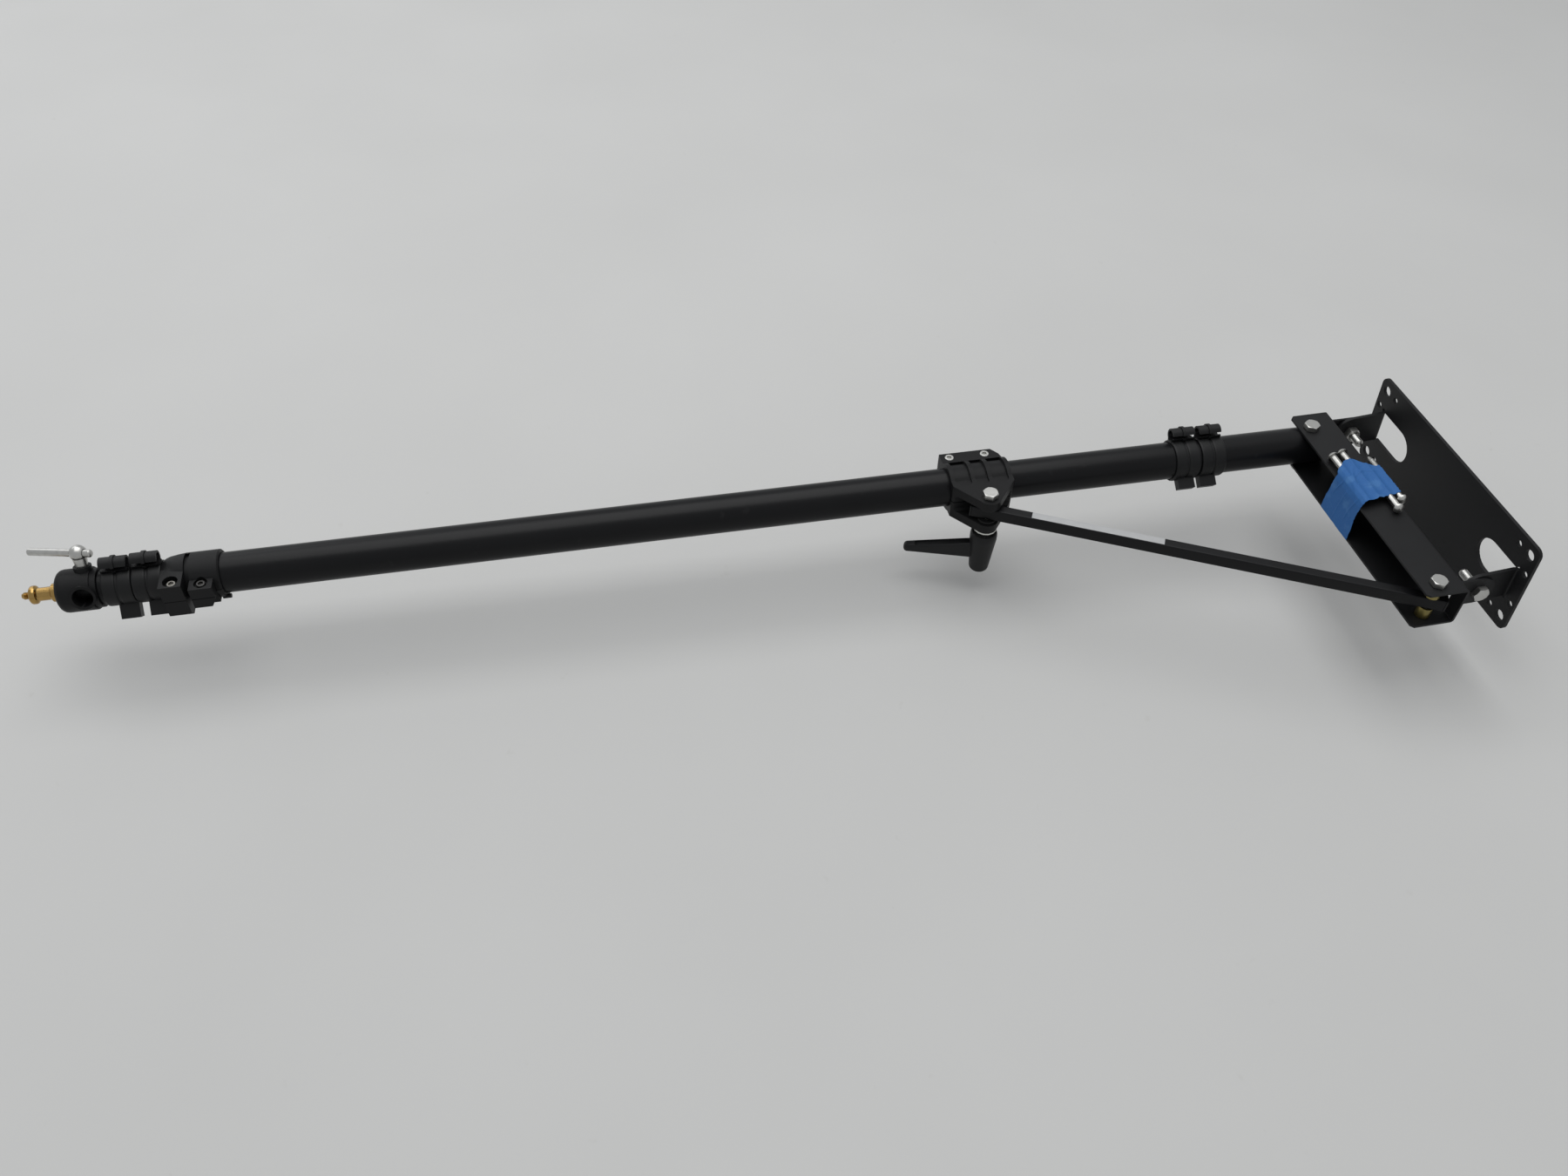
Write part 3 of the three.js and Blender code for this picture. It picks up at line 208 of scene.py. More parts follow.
def cast_black():
    finish = Finish("black_die_casting", specular=0.17)
    skin = finish.noise(1100, 4.0)
    cloud = finish.noise(70, 3.0)
    nick = finish.ramp(finish.noise(480, 3.0), 0.72, 0.78)
    body = finish.mix(cloud, (0.0055, 0.0056, 0.0059), (0.0092, 0.0093, 0.0098))
    colour = finish.mix(nick * 0.3, body, (0.050, 0.049, 0.047))
    finish.bump(skin, 0.00022, 0.5)
    return finish.wear(colour, 0.42 + 0.12 * cloud)


def moulded_plastic():
    finish = Finish("black_moulded_plastic", specular=0.24)
    grain = finish.noise(3200, 2.0)
    cloud = finish.noise(90, 3.0)
    colour = finish.mix(cloud, (0.0056, 0.0058, 0.0062), (0.0098, 0.0100, 0.0105))
    finish.bump(grain, 0.00010, 0.45)
    return finish.wear(colour, 0.40 + 0.12 * cloud)


def zinc_plate():
    finish = Finish("bright_zinc_plate", metallic=1.0)
    cloud = finish.noise(240, 4.0)
    fleck = finish.noise(2400, 3.0)
    colour = finish.mix(cloud, (0.62, 0.62, 0.60), (0.42, 0.415, 0.395))
    finish.bump(fleck, 0.00006, 0.4)
    return finish.wear(colour, 0.22 + 0.22 * cloud)


def dull_zinc():
    finish = Finish("dulled_zinc_plate", metallic=1.0)
    cloud = finish.noise(320, 4.0)
    colour = finish.mix(cloud, (0.27, 0.26, 0.24), (0.15, 0.145, 0.13))
    finish.bump(finish.noise(2400, 3.0), 0.00006, 0.4)
    return finish.wear(colour, 0.42 + 0.20 * cloud)


def black_oxide():
    finish = Finish("black_oxide_steel", metallic=1.0)
    cloud = finish.noise(260, 3.0)
    colour = finish.mix(cloud, (0.045, 0.044, 0.043), (0.075, 0.073, 0.070))
    finish.bump(finish.noise(2200, 3.0), 0.00006, 0.4)
    return finish.wear(colour, 0.28 + 0.18 * cloud)


def yellow_zinc():
    finish = Finish("yellow_zinc_plate", metallic=1.0)
    cloud = finish.noise(260, 3.0)
    colour = finish.mix(cloud, (0.30, 0.24, 0.075), (0.21, 0.18, 0.08))
    finish.bump(finish.noise(2200, 3.0), 0.00006, 0.4)
    return finish.wear(colour, 0.25 + 0.20 * cloud)


def turned_brass():
    finish = Finish("turned_brass", metallic=1.0)
    cloud = finish.noise(190, 4.0)
    rings = finish.noise(1.0, 2.0, finish.stretched((40, 5200, 40)))
    colour = finish.mix(cloud, (0.50, 0.32, 0.11), (0.34, 0.215, 0.072))
    finish.bump(rings, 0.00004, 0.4)
    return finish.wear(colour, 0.11 + 0.14 * cloud)


def white_nylon():
    finish = Finish("white_nylon", specular=0.4)
    cloud = finish.noise(300, 3.0)
    colour = finish.mix(cloud, (0.74, 0.74, 0.70), (0.60, 0.60, 0.56))
    finish.bump(finish.noise(1800, 2.0), 0.00008, 0.4)
    return finish.wear(colour, 0.42 + 0.15 * cloud)


def label_film():
    finish = Finish("silver_white_label", specular=0.5, metallic=0.15)
    cloud = finish.noise(150, 3.0)
    colour = finish.mix(cloud, (0.420, 0.425, 0.425), (0.355, 0.360, 0.365))
    finish.bump(finish.noise(900, 2.0), 0.00005, 0.3)
    return finish.wear(colour, 0.26 + 0.12 * cloud)


def masking_paper():
    finish = Finish("blue_masking_tape", specular=0.3)
    crease = finish.noise(75, 6.0)
    crepe = finish.noise(4.0, 3.0, finish.stretched((160, 160, 620)))
    fibre = finish.noise(1500, 3.0)
    # Painted highlight: the blue is lightened where the crease bump rises, so the crease ridges carry
    # painted light
    pale = finish.ramp(crease, 0.52, 0.68)
    body = finish.mix(crepe, (0.016, 0.088, 0.275), (0.028, 0.128, 0.350))
    colour = finish.mix(pale * 0.45, body, (0.066, 0.185, 0.400))
    finish.bump(0.7 * crease + 0.2 * crepe + 0.1 * fibre, 0.0012, 0.5)
    return finish.wear(colour, 0.62 + 0.15 * crease)


FINISHES = {
    "powder_black": powder_coat(),
    "satin_black_tube": satin_tube(),
    "cast_black": cast_black(),
    "plastic_black": moulded_plastic(),
    "zinc": zinc_plate(),
    "black_oxide": black_oxide(),
    "yellow_zinc": yellow_zinc(),
    "brass": turned_brass(),
    "nylon": white_nylon(),
    "label_silver": label_film(),
    "tape_blue": masking_paper(),
}

# Small pieces whose finish differs from the rest of their slot: a dulled screw and two dark washers
DARK_NYLON = FINISHES["plastic_black"]
OWN_FINISHES = {
    "lock_collar_screw_front": dull_zinc(),
    "strut_washer_upper": DARK_NYLON,
    "strut_washer_lower": DARK_NYLON,
}

SLOTS = {part["node"]: part["material_slot"] for part in frame["record"]["subparts"]}
BODIES = {node: body for body, nodes in frame["record"]["behaviour"]["bodies"].items() for node in nodes}
DRESSED = set()


# Modelling helpers

def deselect():
    bpy.ops.object.select_all(action="DESELECT")


def take(piece):
    """Selects one piece alone and makes it active."""
    deselect()
    piece.select_set(True)
    bpy.context.view_layer.objects.active = piece


def modified(piece, kind, **settings):
    """Adds a modifier with its settings and applies it."""
    take(piece)
    modifier = piece.modifiers.new(kind.lower(), kind)
    for key, value in settings.items():
        setattr(modifier, key, value)
    bpy.ops.object.modifier_apply(modifier=modifier.name)


def softened(piece, width, segments=2):
    """Rounds the sharp edges and shades the curves smooth, with the flats kept flat."""
    if width:
        modified(piece, "BEVEL", width=width, segments=segments, limit_method="ANGLE",
                 angle_limit=BEVEL_ANGLE, use_clamp_overlap=True)
    take(piece)
    bpy.ops.object.shade_smooth_by_angle(angle=SHARP_ANGLE)
    modified(piece, "WEIGHTED_NORMAL", keep_sharp=True)


def placed(piece, place):
    """Moves the piece to its place and keeps that place in its mesh."""
    piece.matrix_world = place
    take(piece)
    bpy.ops.object.transform_apply(location=True, rotation=True, scale=True)


def dressed(piece, *nodes):
    """Hands a finished piece to the frame, in the place of its CAD nodes."""
    slot = SLOTS[nodes[0]]
    piece.data.materials.clear()
    piece.data.materials.append(OWN_FINISHES.get(nodes[0]) or FINISHES[slot])
    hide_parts(*nodes)
    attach(piece, BODIES[nodes[0]])
    DRESSED.update(nodes)


def copied(node, name):
    """A joined copy of a CAD node, with its flat faces made whole."""
    take(frame["nodes"][node])
    bpy.ops.object.duplicate()
    piece = bpy.context.view_layer.objects.active
    bpy.ops.object.parent_clear(type="CLEAR_KEEP_TRANSFORM")
    piece.name = name
    piece.data.name = name
    bpy.ops.object.mode_set(mode="EDIT")
    bpy.ops.mesh.select_all(action="SELECT")
    bpy.ops.mesh.remove_doubles(threshold=WELD)
    bpy.ops.mesh.dissolve_limited(angle_limit=FLAT_ANGLE)
    bpy.ops.object.mode_set(mode="OBJECT")
    return piece


def lathe(name, profile, place, steps=ROUND_STEPS):
    """A profile of (radius, distance forward) turned about the frame's forward axis, -Y."""
    deselect()
    bpy.ops.mesh.primitive_plane_add(size=WELD, enter_editmode=True)
    piece = bpy.context.view_layer.objects.active
    piece.name = name
    piece.data.name = name
    bpy.ops.mesh.merge(type="CENTER")
    here = Vector((0, 0, 0))
    for i, (radius, ahead) in enumerate(profile):
        there = Vector((radius, -ahead, 0))
        if i:
            bpy.ops.mesh.extrude_region_move(TRANSFORM_OT_translate={"value": there - here})
        else:
            bpy.ops.transform.translate(value=there)
        here = there
    bpy.ops.mesh.select_all(action="SELECT")
    bpy.ops.mesh.spin(steps=steps, angle=FULL_TURN, center=(0, 0, 0), axis=(0, 1, 0))
    bpy.ops.mesh.select_all(action="SELECT")
    bpy.ops.mesh.remove_doubles(threshold=WELD)
    bpy.ops.mesh.normals_make_consistent(inside=False)
    bpy.ops.object.mode_set(mode="OBJECT")
    placed(piece, place)
    return piece


def span(node, place):
    """The lowest and highest corner of a CAD node, in a frame's own axes."""
    back = place.inverted()
    points = [back @ vertex.co for vertex in frame["nodes"][node].data.vertices]
    low = Vector([min(point[i] for point in points) for i in range(3)])
    high = Vector([max(point[i] for point in points) for i in range(3)])
    return low, high


def facing(direction, origin):
    """A frame whose forward axis, -Y, points along a direction."""
    y_axis = -direction.normalized()
    return axes(y_axis.orthogonal().normalized(), y_axis, origin)


def beside(node, place):
    """A frame on a node's own axis, which points across the arm, and where the node starts and ends."""
    low, high = span(node, place)
    middle = (low + high) / 2
    return facing(across, place @ Vector((0, middle.y, middle.z))), low.x, high.x


def block(name, low, high):
    """A box between two corners."""
    deselect()
    low, high = Vector(low), Vector(high)
    bpy.ops.mesh.primitive_cube_add(size=1, location=(low + high) / 2, scale=high - low)
    piece = bpy.context.view_layer.objects.active
    piece.name = name
    piece.data.name = name
    bpy.ops.object.transform_apply(location=True, rotation=True, scale=True)
    return piece


def rod(name, radius, start, end, place, steps=ROUND_STEPS):
    return lathe(name, [(0, start), (radius, start), (radius, end), (0, end)], place, steps)


def combined(piece, operation, others):
    """Joins or cuts a piece with others, which are used up."""
    for other in others:
        modified(piece, "BOOLEAN", operation=operation, object=other, solver="EXACT")
        bpy.data.objects.remove(other)
    return piece


def joined(piece, *others):
    return combined(piece, "UNION", others)


def cut(piece, *tools):
    return combined(piece, "DIFFERENCE", tools)


def thread(radius, start, end, pitch, depth):
    """The points of a thread's crests and roots."""
    points = []
    for i in range(int((end - start) / pitch)):
        points.append((radius - depth, start + pitch * i))
        points.append((radius, start + pitch * (i + 0.5)))
    points.append((radius - depth, start + pitch * len(points) / 2))
    return points


# Boom tubes
TUBE_WALL = 1.2 * MM
INNER_WALL = 1.5 * MM
TUBE_EDGE = 0.3 * MM
PIVOT_HOLE = 4.3 * MM
PIN_HOLE = 2.3 * MM


def drawn_tube(node, wall, hole, hole_at):
    low, high = span(node, BOOM)
    radius, start, end = (high.x - low.x) / 2, -high.y, -low.y
    profile = [
        (radius - wall, start),
        (radius - TUBE_EDGE, start),
        (radius, start + TUBE_EDGE),
        (radius, end - TUBE_EDGE),
        (radius - TUBE_EDGE, end),
        (radius - wall, end),
        (radius - wall, start),
    ]
    piece = lathe(node + "_drawn", profile, BOOM, TUBE_STEPS)
    place = facing(across, BOOM @ Vector((0, -hole_at, 0)))
    cut(piece, rod("hole", hole, -2 * radius, 2 * radius, place, SMALL_STEPS))
    softened(piece, 0)
    dressed(piece, node)


def boom_tubes():
    drawn_tube("outer_tube", TUBE_WALL, PIVOT_HOLE, 0)
    socket_front = -span("end_socket", BOOM)[0].y
    drawn_tube("inner_tube", INNER_WALL, PIN_HOLE, socket_front - SOCKET["pin_back"])


# End socket: a cast body with an axial bore, a cross bore and a boss
SOCKET = {
    "half": 18.5 * MM,
    "skirt": 17 * MM,
    "plug": 13.2 * MM,
    "plug_length": 55 * MM,
    "tube_back": 33.7 * MM,
    "body_back": 28.7 * MM,
    "back_ease": 0.2 * MM,
    "back_slope": 0.4 * MM,
    "pin_back": 46 * MM,
    "cross_back": 23 * MM,
    "bore": 8.25 * MM,
    "bore_depth": 30.6 * MM,
    "rim": 10.5 * MM,
    "rim_rise": 19.4 * MM,
    "boss": 7.2 * MM,
    "boss_rise": 21.4 * MM,
    "screw": 5.3 * MM,
    "edge": 0.7 * MM,
}
# The rounded nose: how far each place lies inside the body's side, and behind its front
NOSE_ROUND = (
    (0.0, 6 * MM),
    (0.5 * MM, 3.6 * MM),
    (1.8 * MM, 1.7 * MM),
    (3.7 * MM, 0.45 * MM),
    (6 * MM, 0.0),
)


def end_socket():
    front = -span("end_socket", BOOM)[0].y
    half = SOCKET["half"]
    plug_end = front - SOCKET["plug_length"]
    tube_end = front - SOCKET["tube_back"]
    body_end = front - SOCKET["body_back"]
    profile = [
        (0, plug_end),
        (SOCKET["plug"], plug_end),
        (SOCKET["plug"], tube_end),
        (SOCKET["skirt"], tube_end),
        (SOCKET["skirt"], body_end),
        (half - SOCKET["back_ease"], body_end),
        (half, body_end + SOCKET["back_slope"]),
        *((half - inside, front - behind) for inside, behind in NOSE_ROUND),
        (0, front),
    ]
    piece = lathe("end_socket_cast", profile, BOOM, TUBE_STEPS)
    centre = BOOM @ Vector((0, -front + SOCKET["cross_back"], 0))
    screw = facing(axis_of("t_screw_turn"), centre)
    cross = facing(axis_of("t_screw_turn").cross(boom_back), centre)
    rise = SOCKET["rim_rise"]
    joined(
        piece,
        rod("rim", SOCKET["rim"], -rise, rise, cross),
        rod("boss", SOCKET["boss"], 0, SOCKET["boss_rise"], screw),
    )
    cut(
        piece,
        rod("cross_bore", SOCKET["bore"], -2 * half, 2 * half, cross),
        rod("screw_bore", SOCKET["screw"], 0, 2 * half, screw),
        rod("axial_bore", SOCKET["bore"], front - SOCKET["bore_depth"], front + OVERRUN, BOOM),
    )
    softened(piece, SOCKET["edge"], 3)
    dressed(piece, "end_socket")


# Spigot: a brass stud with a neck and a threaded tip
STUD = {
    "half": 7.95 * MM,
    "chamfer": 1.2 * MM,
    "collar_ease": 0.9 * MM,
    "neck": 5.7 * MM,
    "neck_length": 11.4 * MM,
    "fillet": 0.5 * MM,
    "flange_length": 6 * MM,
    "tip": 3.15 * MM,
    "tip_length": 6.6 * MM,
    "tip_ease": 1.1 * MM,
    "pitch": 1.27 * MM,
    "depth": 0.45 * MM,
    "thread_back": 0.3 * MM,
    "thread_front": 0.6 * MM,
}
# The front flange's rounded rim: shares of its length, and how far each place lies below the rim's crown
FLANGE_ROUND = (
    (0.00, 1.9 * MM),
    (0.06, 1.1 * MM),
    (0.16, 0.4 * MM),
    (0.30, 0.0),
    (0.70, 0.0),
    (0.84, 0.4 * MM),
    (0.94, 1.1 * MM),
    (1.00, 1.9 * MM),
)


def spigot():
    low, high = span("spigot", BOOM)
    start, end = -high.y, -low.y
    half, neck, tip = STUD["half"], STUD["neck"], STUD["tip"]
    chamfer, ease, fillet = STUD["chamfer"], STUD["collar_ease"], STUD["fillet"]
    shoulder = end - STUD["tip_length"]
    flange = shoulder - STUD["flange_length"]
    collar = flange - STUD["neck_length"]
    thread_start = shoulder + STUD["thread_back"]
    thread_end = end - STUD["thread_front"]
    profile = [
        (0, start),
        (half - chamfer, start),
        (half, start + chamfer),
        (half, collar - ease),
        (half - ease, collar),
        (neck + fillet, collar),
        (neck, collar + fillet),
        (neck, flange - fillet),
        (neck + fillet, flange),
        *((half - fall, flange + share * (shoulder - flange)) for share, fall in FLANGE_ROUND),
        (tip - STUD["depth"], shoulder),
        *thread(tip, thread_start, thread_end, STUD["pitch"], STUD["depth"]),
        (tip - STUD["tip_ease"], end),
        (0, end),
    ]
    piece = lathe("spigot_turned", profile, BOOM, TUBE_STEPS)
    softened(piece, 0)
    dressed(piece, "spigot")


# T-screw: a threaded shank with a ball end, and the bar that slides through it
T_SCREW = {
    "shank": 5 * MM,
    "start": 8.3 * MM,
    "thread_end": 19 * MM,
    "run_out": 0.6 * MM,
    "pitch": 1.5 * MM,
    "depth": 0.6 * MM,
    "neck": 5.6 * MM,
    "neck_back": 6 * MM,
    "taper_back": 10.5 * MM,
    "ball": 7 * MM,
    "ball_rise": 33 * MM,
    "bar_bore": 3.7 * MM,
}
BAR_CHAMFER = 1.1 * MM


def t_screw():
    turn = facing(axis_of("t_screw_turn"), place_of("t_screw_turn"))
    shank, neck = T_SCREW["shank"], T_SCREW["neck"]
    radius, rise = T_SCREW["ball"], T_SCREW["ball_rise"]
    start, thread_end = T_SCREW["start"], T_SCREW["thread_end"]
    middle = SCREW @ Vector((rise, 0, 0))
    slide = facing(-axis_of("t_bar_slide"), middle)
    profile = [
        (0, start),
        *thread(shank, start, thread_end, T_SCREW["pitch"], T_SCREW["depth"]),
        (shank, thread_end + T_SCREW["run_out"]),
        (shank, rise - T_SCREW["taper_back"]),
        (neck, rise - T_SCREW["neck_back"]),
        (neck, rise),
        (0, rise),
    ]
    piece = lathe("t_screw_turned", profile, turn, ROUND_STEPS)
    deselect()
    bpy.ops.mesh.primitive_uv_sphere_add(segments=ROUND_STEPS, ring_count=SMALL_STEPS, radius=radius)
    ball = bpy.context.view_layer.objects.active
    placed(ball, Matrix.Translation(middle) @ turn.to_3x3().to_4x4())
    joined(piece, ball)
    cut(piece, rod("bar_bore", T_SCREW["bar_bore"], -2 * radius, 2 * radius, slide))
    softened(piece, BOLT_EDGE)
    dressed(piece, "t_screw")


def t_bar():
    low, high = span("t_bar", SCREW)
    radius = (high.x - low.x) / 2
    place = SCREW @ Matrix.Translation(((high.x + low.x) / 2, 0, 0))
    start, end = -high.y, -low.y
    profile = [
        (0, start),
        (radius - BAR_CHAMFER, start),
        (radius, start + BAR_CHAMFER),
        (radius, end - BAR_CHAMFER),
        (radius - BAR_CHAMFER, end),
        (0, end),
    ]
    piece = lathe("t_bar_turned", profile, place, ROUND_STEPS)
    softened(piece, BOLT_EDGE)
    dressed(piece, "t_bar")


# Cable clips: a thin snap ring with a cable loop, end stops, a foot and its slit
CLIP = {
    "width": 23.8 * MM,
    "gap": 0.3 * MM,
    "wall": 1.9 * MM,
    "step": 0.95 * MM,
    "crown": 1.7 * MM,
    "groove": 0.8 * MM,
    "loop": 6.5 * MM,
    "loop_sink": 1.6 * MM,
    "loop_end": 1.1 * MM,
    "loop_bore": 4.7 * MM,
    "mouth": 3 * MM,
    "nub": 2.8 * MM,
    "nub_rise": 1.1 * MM,
    "stop_reach": 4 * MM,
    "stop_half": 3.5 * MM,
    "stop": 1.4 * MM,
    "foot_half": 8 * MM,
    "foot_thick": 8 * MM,
    "foot_reach": 29 * MM,
    "slit": 3 * MM,
    "edge": 0.4 * MM,
}
CLIP_MOUTH_TURN = math.radians(100)
CLIP_FOOT_TURN = math.radians(-30)
# A band's rounded shoulder: shares of the step that it falls, and of the crown's length from its end
CROWN_ROUND_SHARES = ((1.0, 0.0), (0.55, 0.12), (0.18, 0.45), (0.0, 1.0))
# Each clip's tube radius, its roll about the tube in degrees, and how far back its foot sits
CLIPS = {
    "rear_cable_clip_near": (17.5 * MM, 22, 4 * MM),
    "rear_cable_clip_far": (17.5 * MM, 24, 0),
    "front_cable_clip_near": (15 * MM, 12, -4 * MM),
    "front_cable_clip_far": (15 * MM, 8, -4 * MM),
}


def turned_about(angle, centre=(0, 0, 0)):
    """A turn about the line along Y through a point."""
    centre = Vector(centre)
    return Matrix.Translation(centre) @ Matrix.Rotation(angle, 4, "Y") @ Matrix.Translation(-centre)


def crowned(outer, start, end):
    """The section of one raised band of a clip's ring, with rounded shoulders."""
    step, crown = CLIP["step"], CLIP["crown"]
    rising = [(outer - fall * step, start + along * crown) for fall, along in CROWN_ROUND_SHARES]
    falling = [(outer - fall * step, end - along * crown) for fall, along in reversed(CROWN_ROUND_SHARES)]
    return rising + falling


def clip_foot(seat, foot_set):
    """The foot, from its seat in the ring outwards."""
    half, thick = CLIP["foot_half"], CLIP["foot_thick"] / 2
    foot = block("foot", (-CLIP["foot_reach"], -half, -thick), (-seat, half, thick))
    placed(foot, turned_about(CLIP_FOOT_TURN) @ Matrix.Translation((0, -foot_set, 0)))
    return foot


def clip_mouth(reach, long):
    """The cutter that opens the cable loop."""
    half = CLIP["mouth"] / 2
    mouth = block("mouth", (reach, -long, -half), (reach + 2 * CLIP["loop"], long, half))
    placed(mouth, turned_about(CLIP_MOUTH_TURN, (reach, 0, 0)))
    return mouth


def clip_slit(outer, long):
    """The cutter that opens the ring beside its foot."""
    thick = CLIP["foot_thick"] / 2
    slit = block("slit", (-2 * outer, -long, thick), (0, long, thick + CLIP["slit"]))
    placed(slit, turned_about(CLIP_FOOT_TURN))
    return slit


def cable_clip(node):
    tube, roll, foot_set = CLIPS[node]
    inner = tube + CLIP["gap"]
    outer = inner + CLIP["wall"]
    half = CLIP["width"] / 2
    upright = Matrix()
    profile = [
        (inner, -half),
        *crowned(outer, -half, -CLIP["groove"]),
        *crowned(outer, CLIP["groove"], half),
        (inner, half),
        (inner, -half),
    ]
    piece = lathe(node + "_moulded", profile, upright, TUBE_STEPS)
    reach = outer + CLIP["loop"] - CLIP["loop_sink"]
    aside = Matrix.Translation((reach, 0, 0))
    loop_half = half - CLIP["loop_end"]
    nub = CLIP["nub"] / 2
    wide, thin = CLIP["stop_half"], CLIP["stop"]
    seat, tall = inner + CLIP["step"], outer + CLIP["stop_reach"]
    foot = clip_foot(seat, foot_set)
    joined(
        piece,
        rod("loop", CLIP["loop"], -loop_half, loop_half, aside),
        rod("nub", CLIP["loop"] + CLIP["nub_rise"], -nub, nub, aside),
        block("stop", (seat, -half, -wide), (tall, -half + thin, wide)),
        block("stop", (seat, half - thin, -wide), (tall, half, wide)),
        foot,
    )
    long = CLIP["width"]
    mouth = clip_mouth(reach, long)
    slit = clip_slit(outer, long)
    cut(
        piece,
        rod("loop_bore", CLIP["loop_bore"], -long, long, aside, SMALL_STEPS),
        mouth,
        slit,
        rod("hollow", inner, -long, long, upright, TUBE_STEPS),
    )
    softened(piece, CLIP["edge"])
    cad_low, cad_high = span(node, BOOM)
    middle = BOOM @ Matrix.Translation((0, (cad_low.y + cad_high.y) / 2, 0))
    placed(piece, middle @ turned_about(math.radians(-roll)))
    dressed(piece, node)


# Indexing lever: a tapering hub, and a slim blade with a groove along its upper side
LEVER = {
    "top": 11.5 * MM,
    "wide": 12.5 * MM,
    "foot": 9.25 * MM,
    "shoulder": 4 * MM,
    "round": 3 * MM,
    "hub_edge": 0.5 * MM,
    "bore": 7.2 * MM,
    "bore_depth": 22.1 * MM,
    "screw": 2.8 * MM,
    "head": 4.8 * MM,
    "reach": 72.5 * MM,
    "thick": 10.6 * MM,
    "root": 21 * MM,
    "root_drop": 22 * MM,
    "tip_share": 0.42,
    "tip_thick_share": 0.8,
    "tip_drop": 28 * MM,
    "groove": 6.8 * MM,
    "groove_depth": 2.6 * MM,
    "groove_near_share": 0.9,
    "groove_far_share": 0.87,
    "edge": 3.4 * MM,
}
LEVER_TURN = math.radians(-17)
# The hub's eased top, as shares of its flare and its shoulder
HUB_TOP_SHARES = (0.75, 0.4)
# The hub's rounded foot: shares of its rounding, inwards and back from its end
HUB_FOOT_SHARES = ((0.0, 1.0), (0.12, 0.62), (0.38, 0.25), (1.0, 0.0))
TIP_FACE = -0.9


def lever_blade():
    """The arm, from the hub's axis towards its tip along -Y."""
    root, reach, thick = LEVER["root"] / 2, LEVER["reach"], LEVER["thick"] / 2
    blade = block("blade", (-root, -reach, -thick), (root, 0, thick))
    bpy.ops.object.mode_set(mode="EDIT")
    bpy.ops.mesh.select_mode(type="FACE")
    bpy.ops.mesh.select_all(action="DESELECT")
    bpy.ops.object.mode_set(mode="OBJECT")
    for face in blade.data.polygons:
        face.select = face.normal.y < TIP_FACE
    bpy.ops.object.mode_set(mode="EDIT")
    share = LEVER["tip_share"]
    bpy.ops.transform.resize(value=(share, 1, LEVER["tip_thick_share"]), center_override=(0, -reach, 0))
    bpy.ops.transform.translate(value=(LEVER["root_drop"] - LEVER["tip_drop"], 0, 0))
    bpy.ops.mesh.select_mode(type="VERT")
    bpy.ops.object.mode_set(mode="OBJECT")
    modified(blade, "BEVEL", width=LEVER["edge"], segments=5, limit_method="ANGLE", angle_limit=BEVEL_ANGLE)
    fall = LEVER["tip_drop"] - LEVER["root_drop"] + root * (1 - share)
    slope = -math.atan2(fall, reach)
    half, depth = LEVER["groove"] / 2, LEVER["groove_depth"]
    far, near = LEVER["groove_far_share"] * reach, LEVER["groove_near_share"] * LEVER["top"]
    groove = block("groove", (-depth, -far, -half), (2 * depth, -near, half))
    placed(groove, Matrix.Translation((root, 0, 0)) @ Matrix.Rotation(slope, 4, "Z"))
    return cut(blade, groove)


def lever_handle():
    low, high = span("lever_handle", CLAMP)
    height = high.x - low.x
    place = facing(-across, CLAMP @ Vector((high.x, 0, 0)))
    top, wide, foot = LEVER["top"], LEVER["wide"], LEVER["foot"]
    bend, shoulder = LEVER["round"], LEVER["shoulder"]
    flare_share, rise_share = HUB_TOP_SHARES
    profile = [
        (0, 0),
        (top, 0),
        (top + flare_share * (wide - top), rise_share * shoulder),
        (wide, shoulder),
        (wide, 2 * shoulder),
        *((foot - inside * bend, height - back * bend) for inside, back in HUB_FOOT_SHARES),
        (0, height),
    ]
    piece = lathe("lever_handle_moulded", profile, place, TUBE_STEPS)
    blade = lever_blade()
    turn = Matrix.Translation((high.x, 0, 0)) @ Matrix.Rotation(LEVER_TURN, 4, "X")
    placed(blade, CLAMP @ turn @ Matrix.Translation((-LEVER["root_drop"], 0, 0)))
    joined(piece, blade)
    cut(
        piece,
        rod("bore", LEVER["bore"], -OVERRUN, LEVER["bore_depth"], place),
        rod("screw_bore", LEVER["screw"], 0, height + OVERRUN, place, SMALL_STEPS),
        rod("head_well", LEVER["head"], height - bend, height + OVERRUN, place, SMALL_STEPS),
    )
    softened(piece, LEVER["hub_edge"])
    dressed(piece, "lever_handle")


# Tilt clamp: the frame's castings, with the pockets between their ribs cut deeper
POCKET = {
    "deep": 0.9 * MM,
    "ring": 22 * MM,
    "band": 1.7 * MM,
    "rib": 4 * MM,
    "pitch": 16 * MM,
    "rim": 4 * MM,
    "wall": 0.5 * MM,
    "parting": 2 * MM,
    "high": 13.4 * MM,
    "low": 9.5 * MM,
}
CLAMP_HALF = 29 * MM
CLAMP_DROP = 38.8 * MM


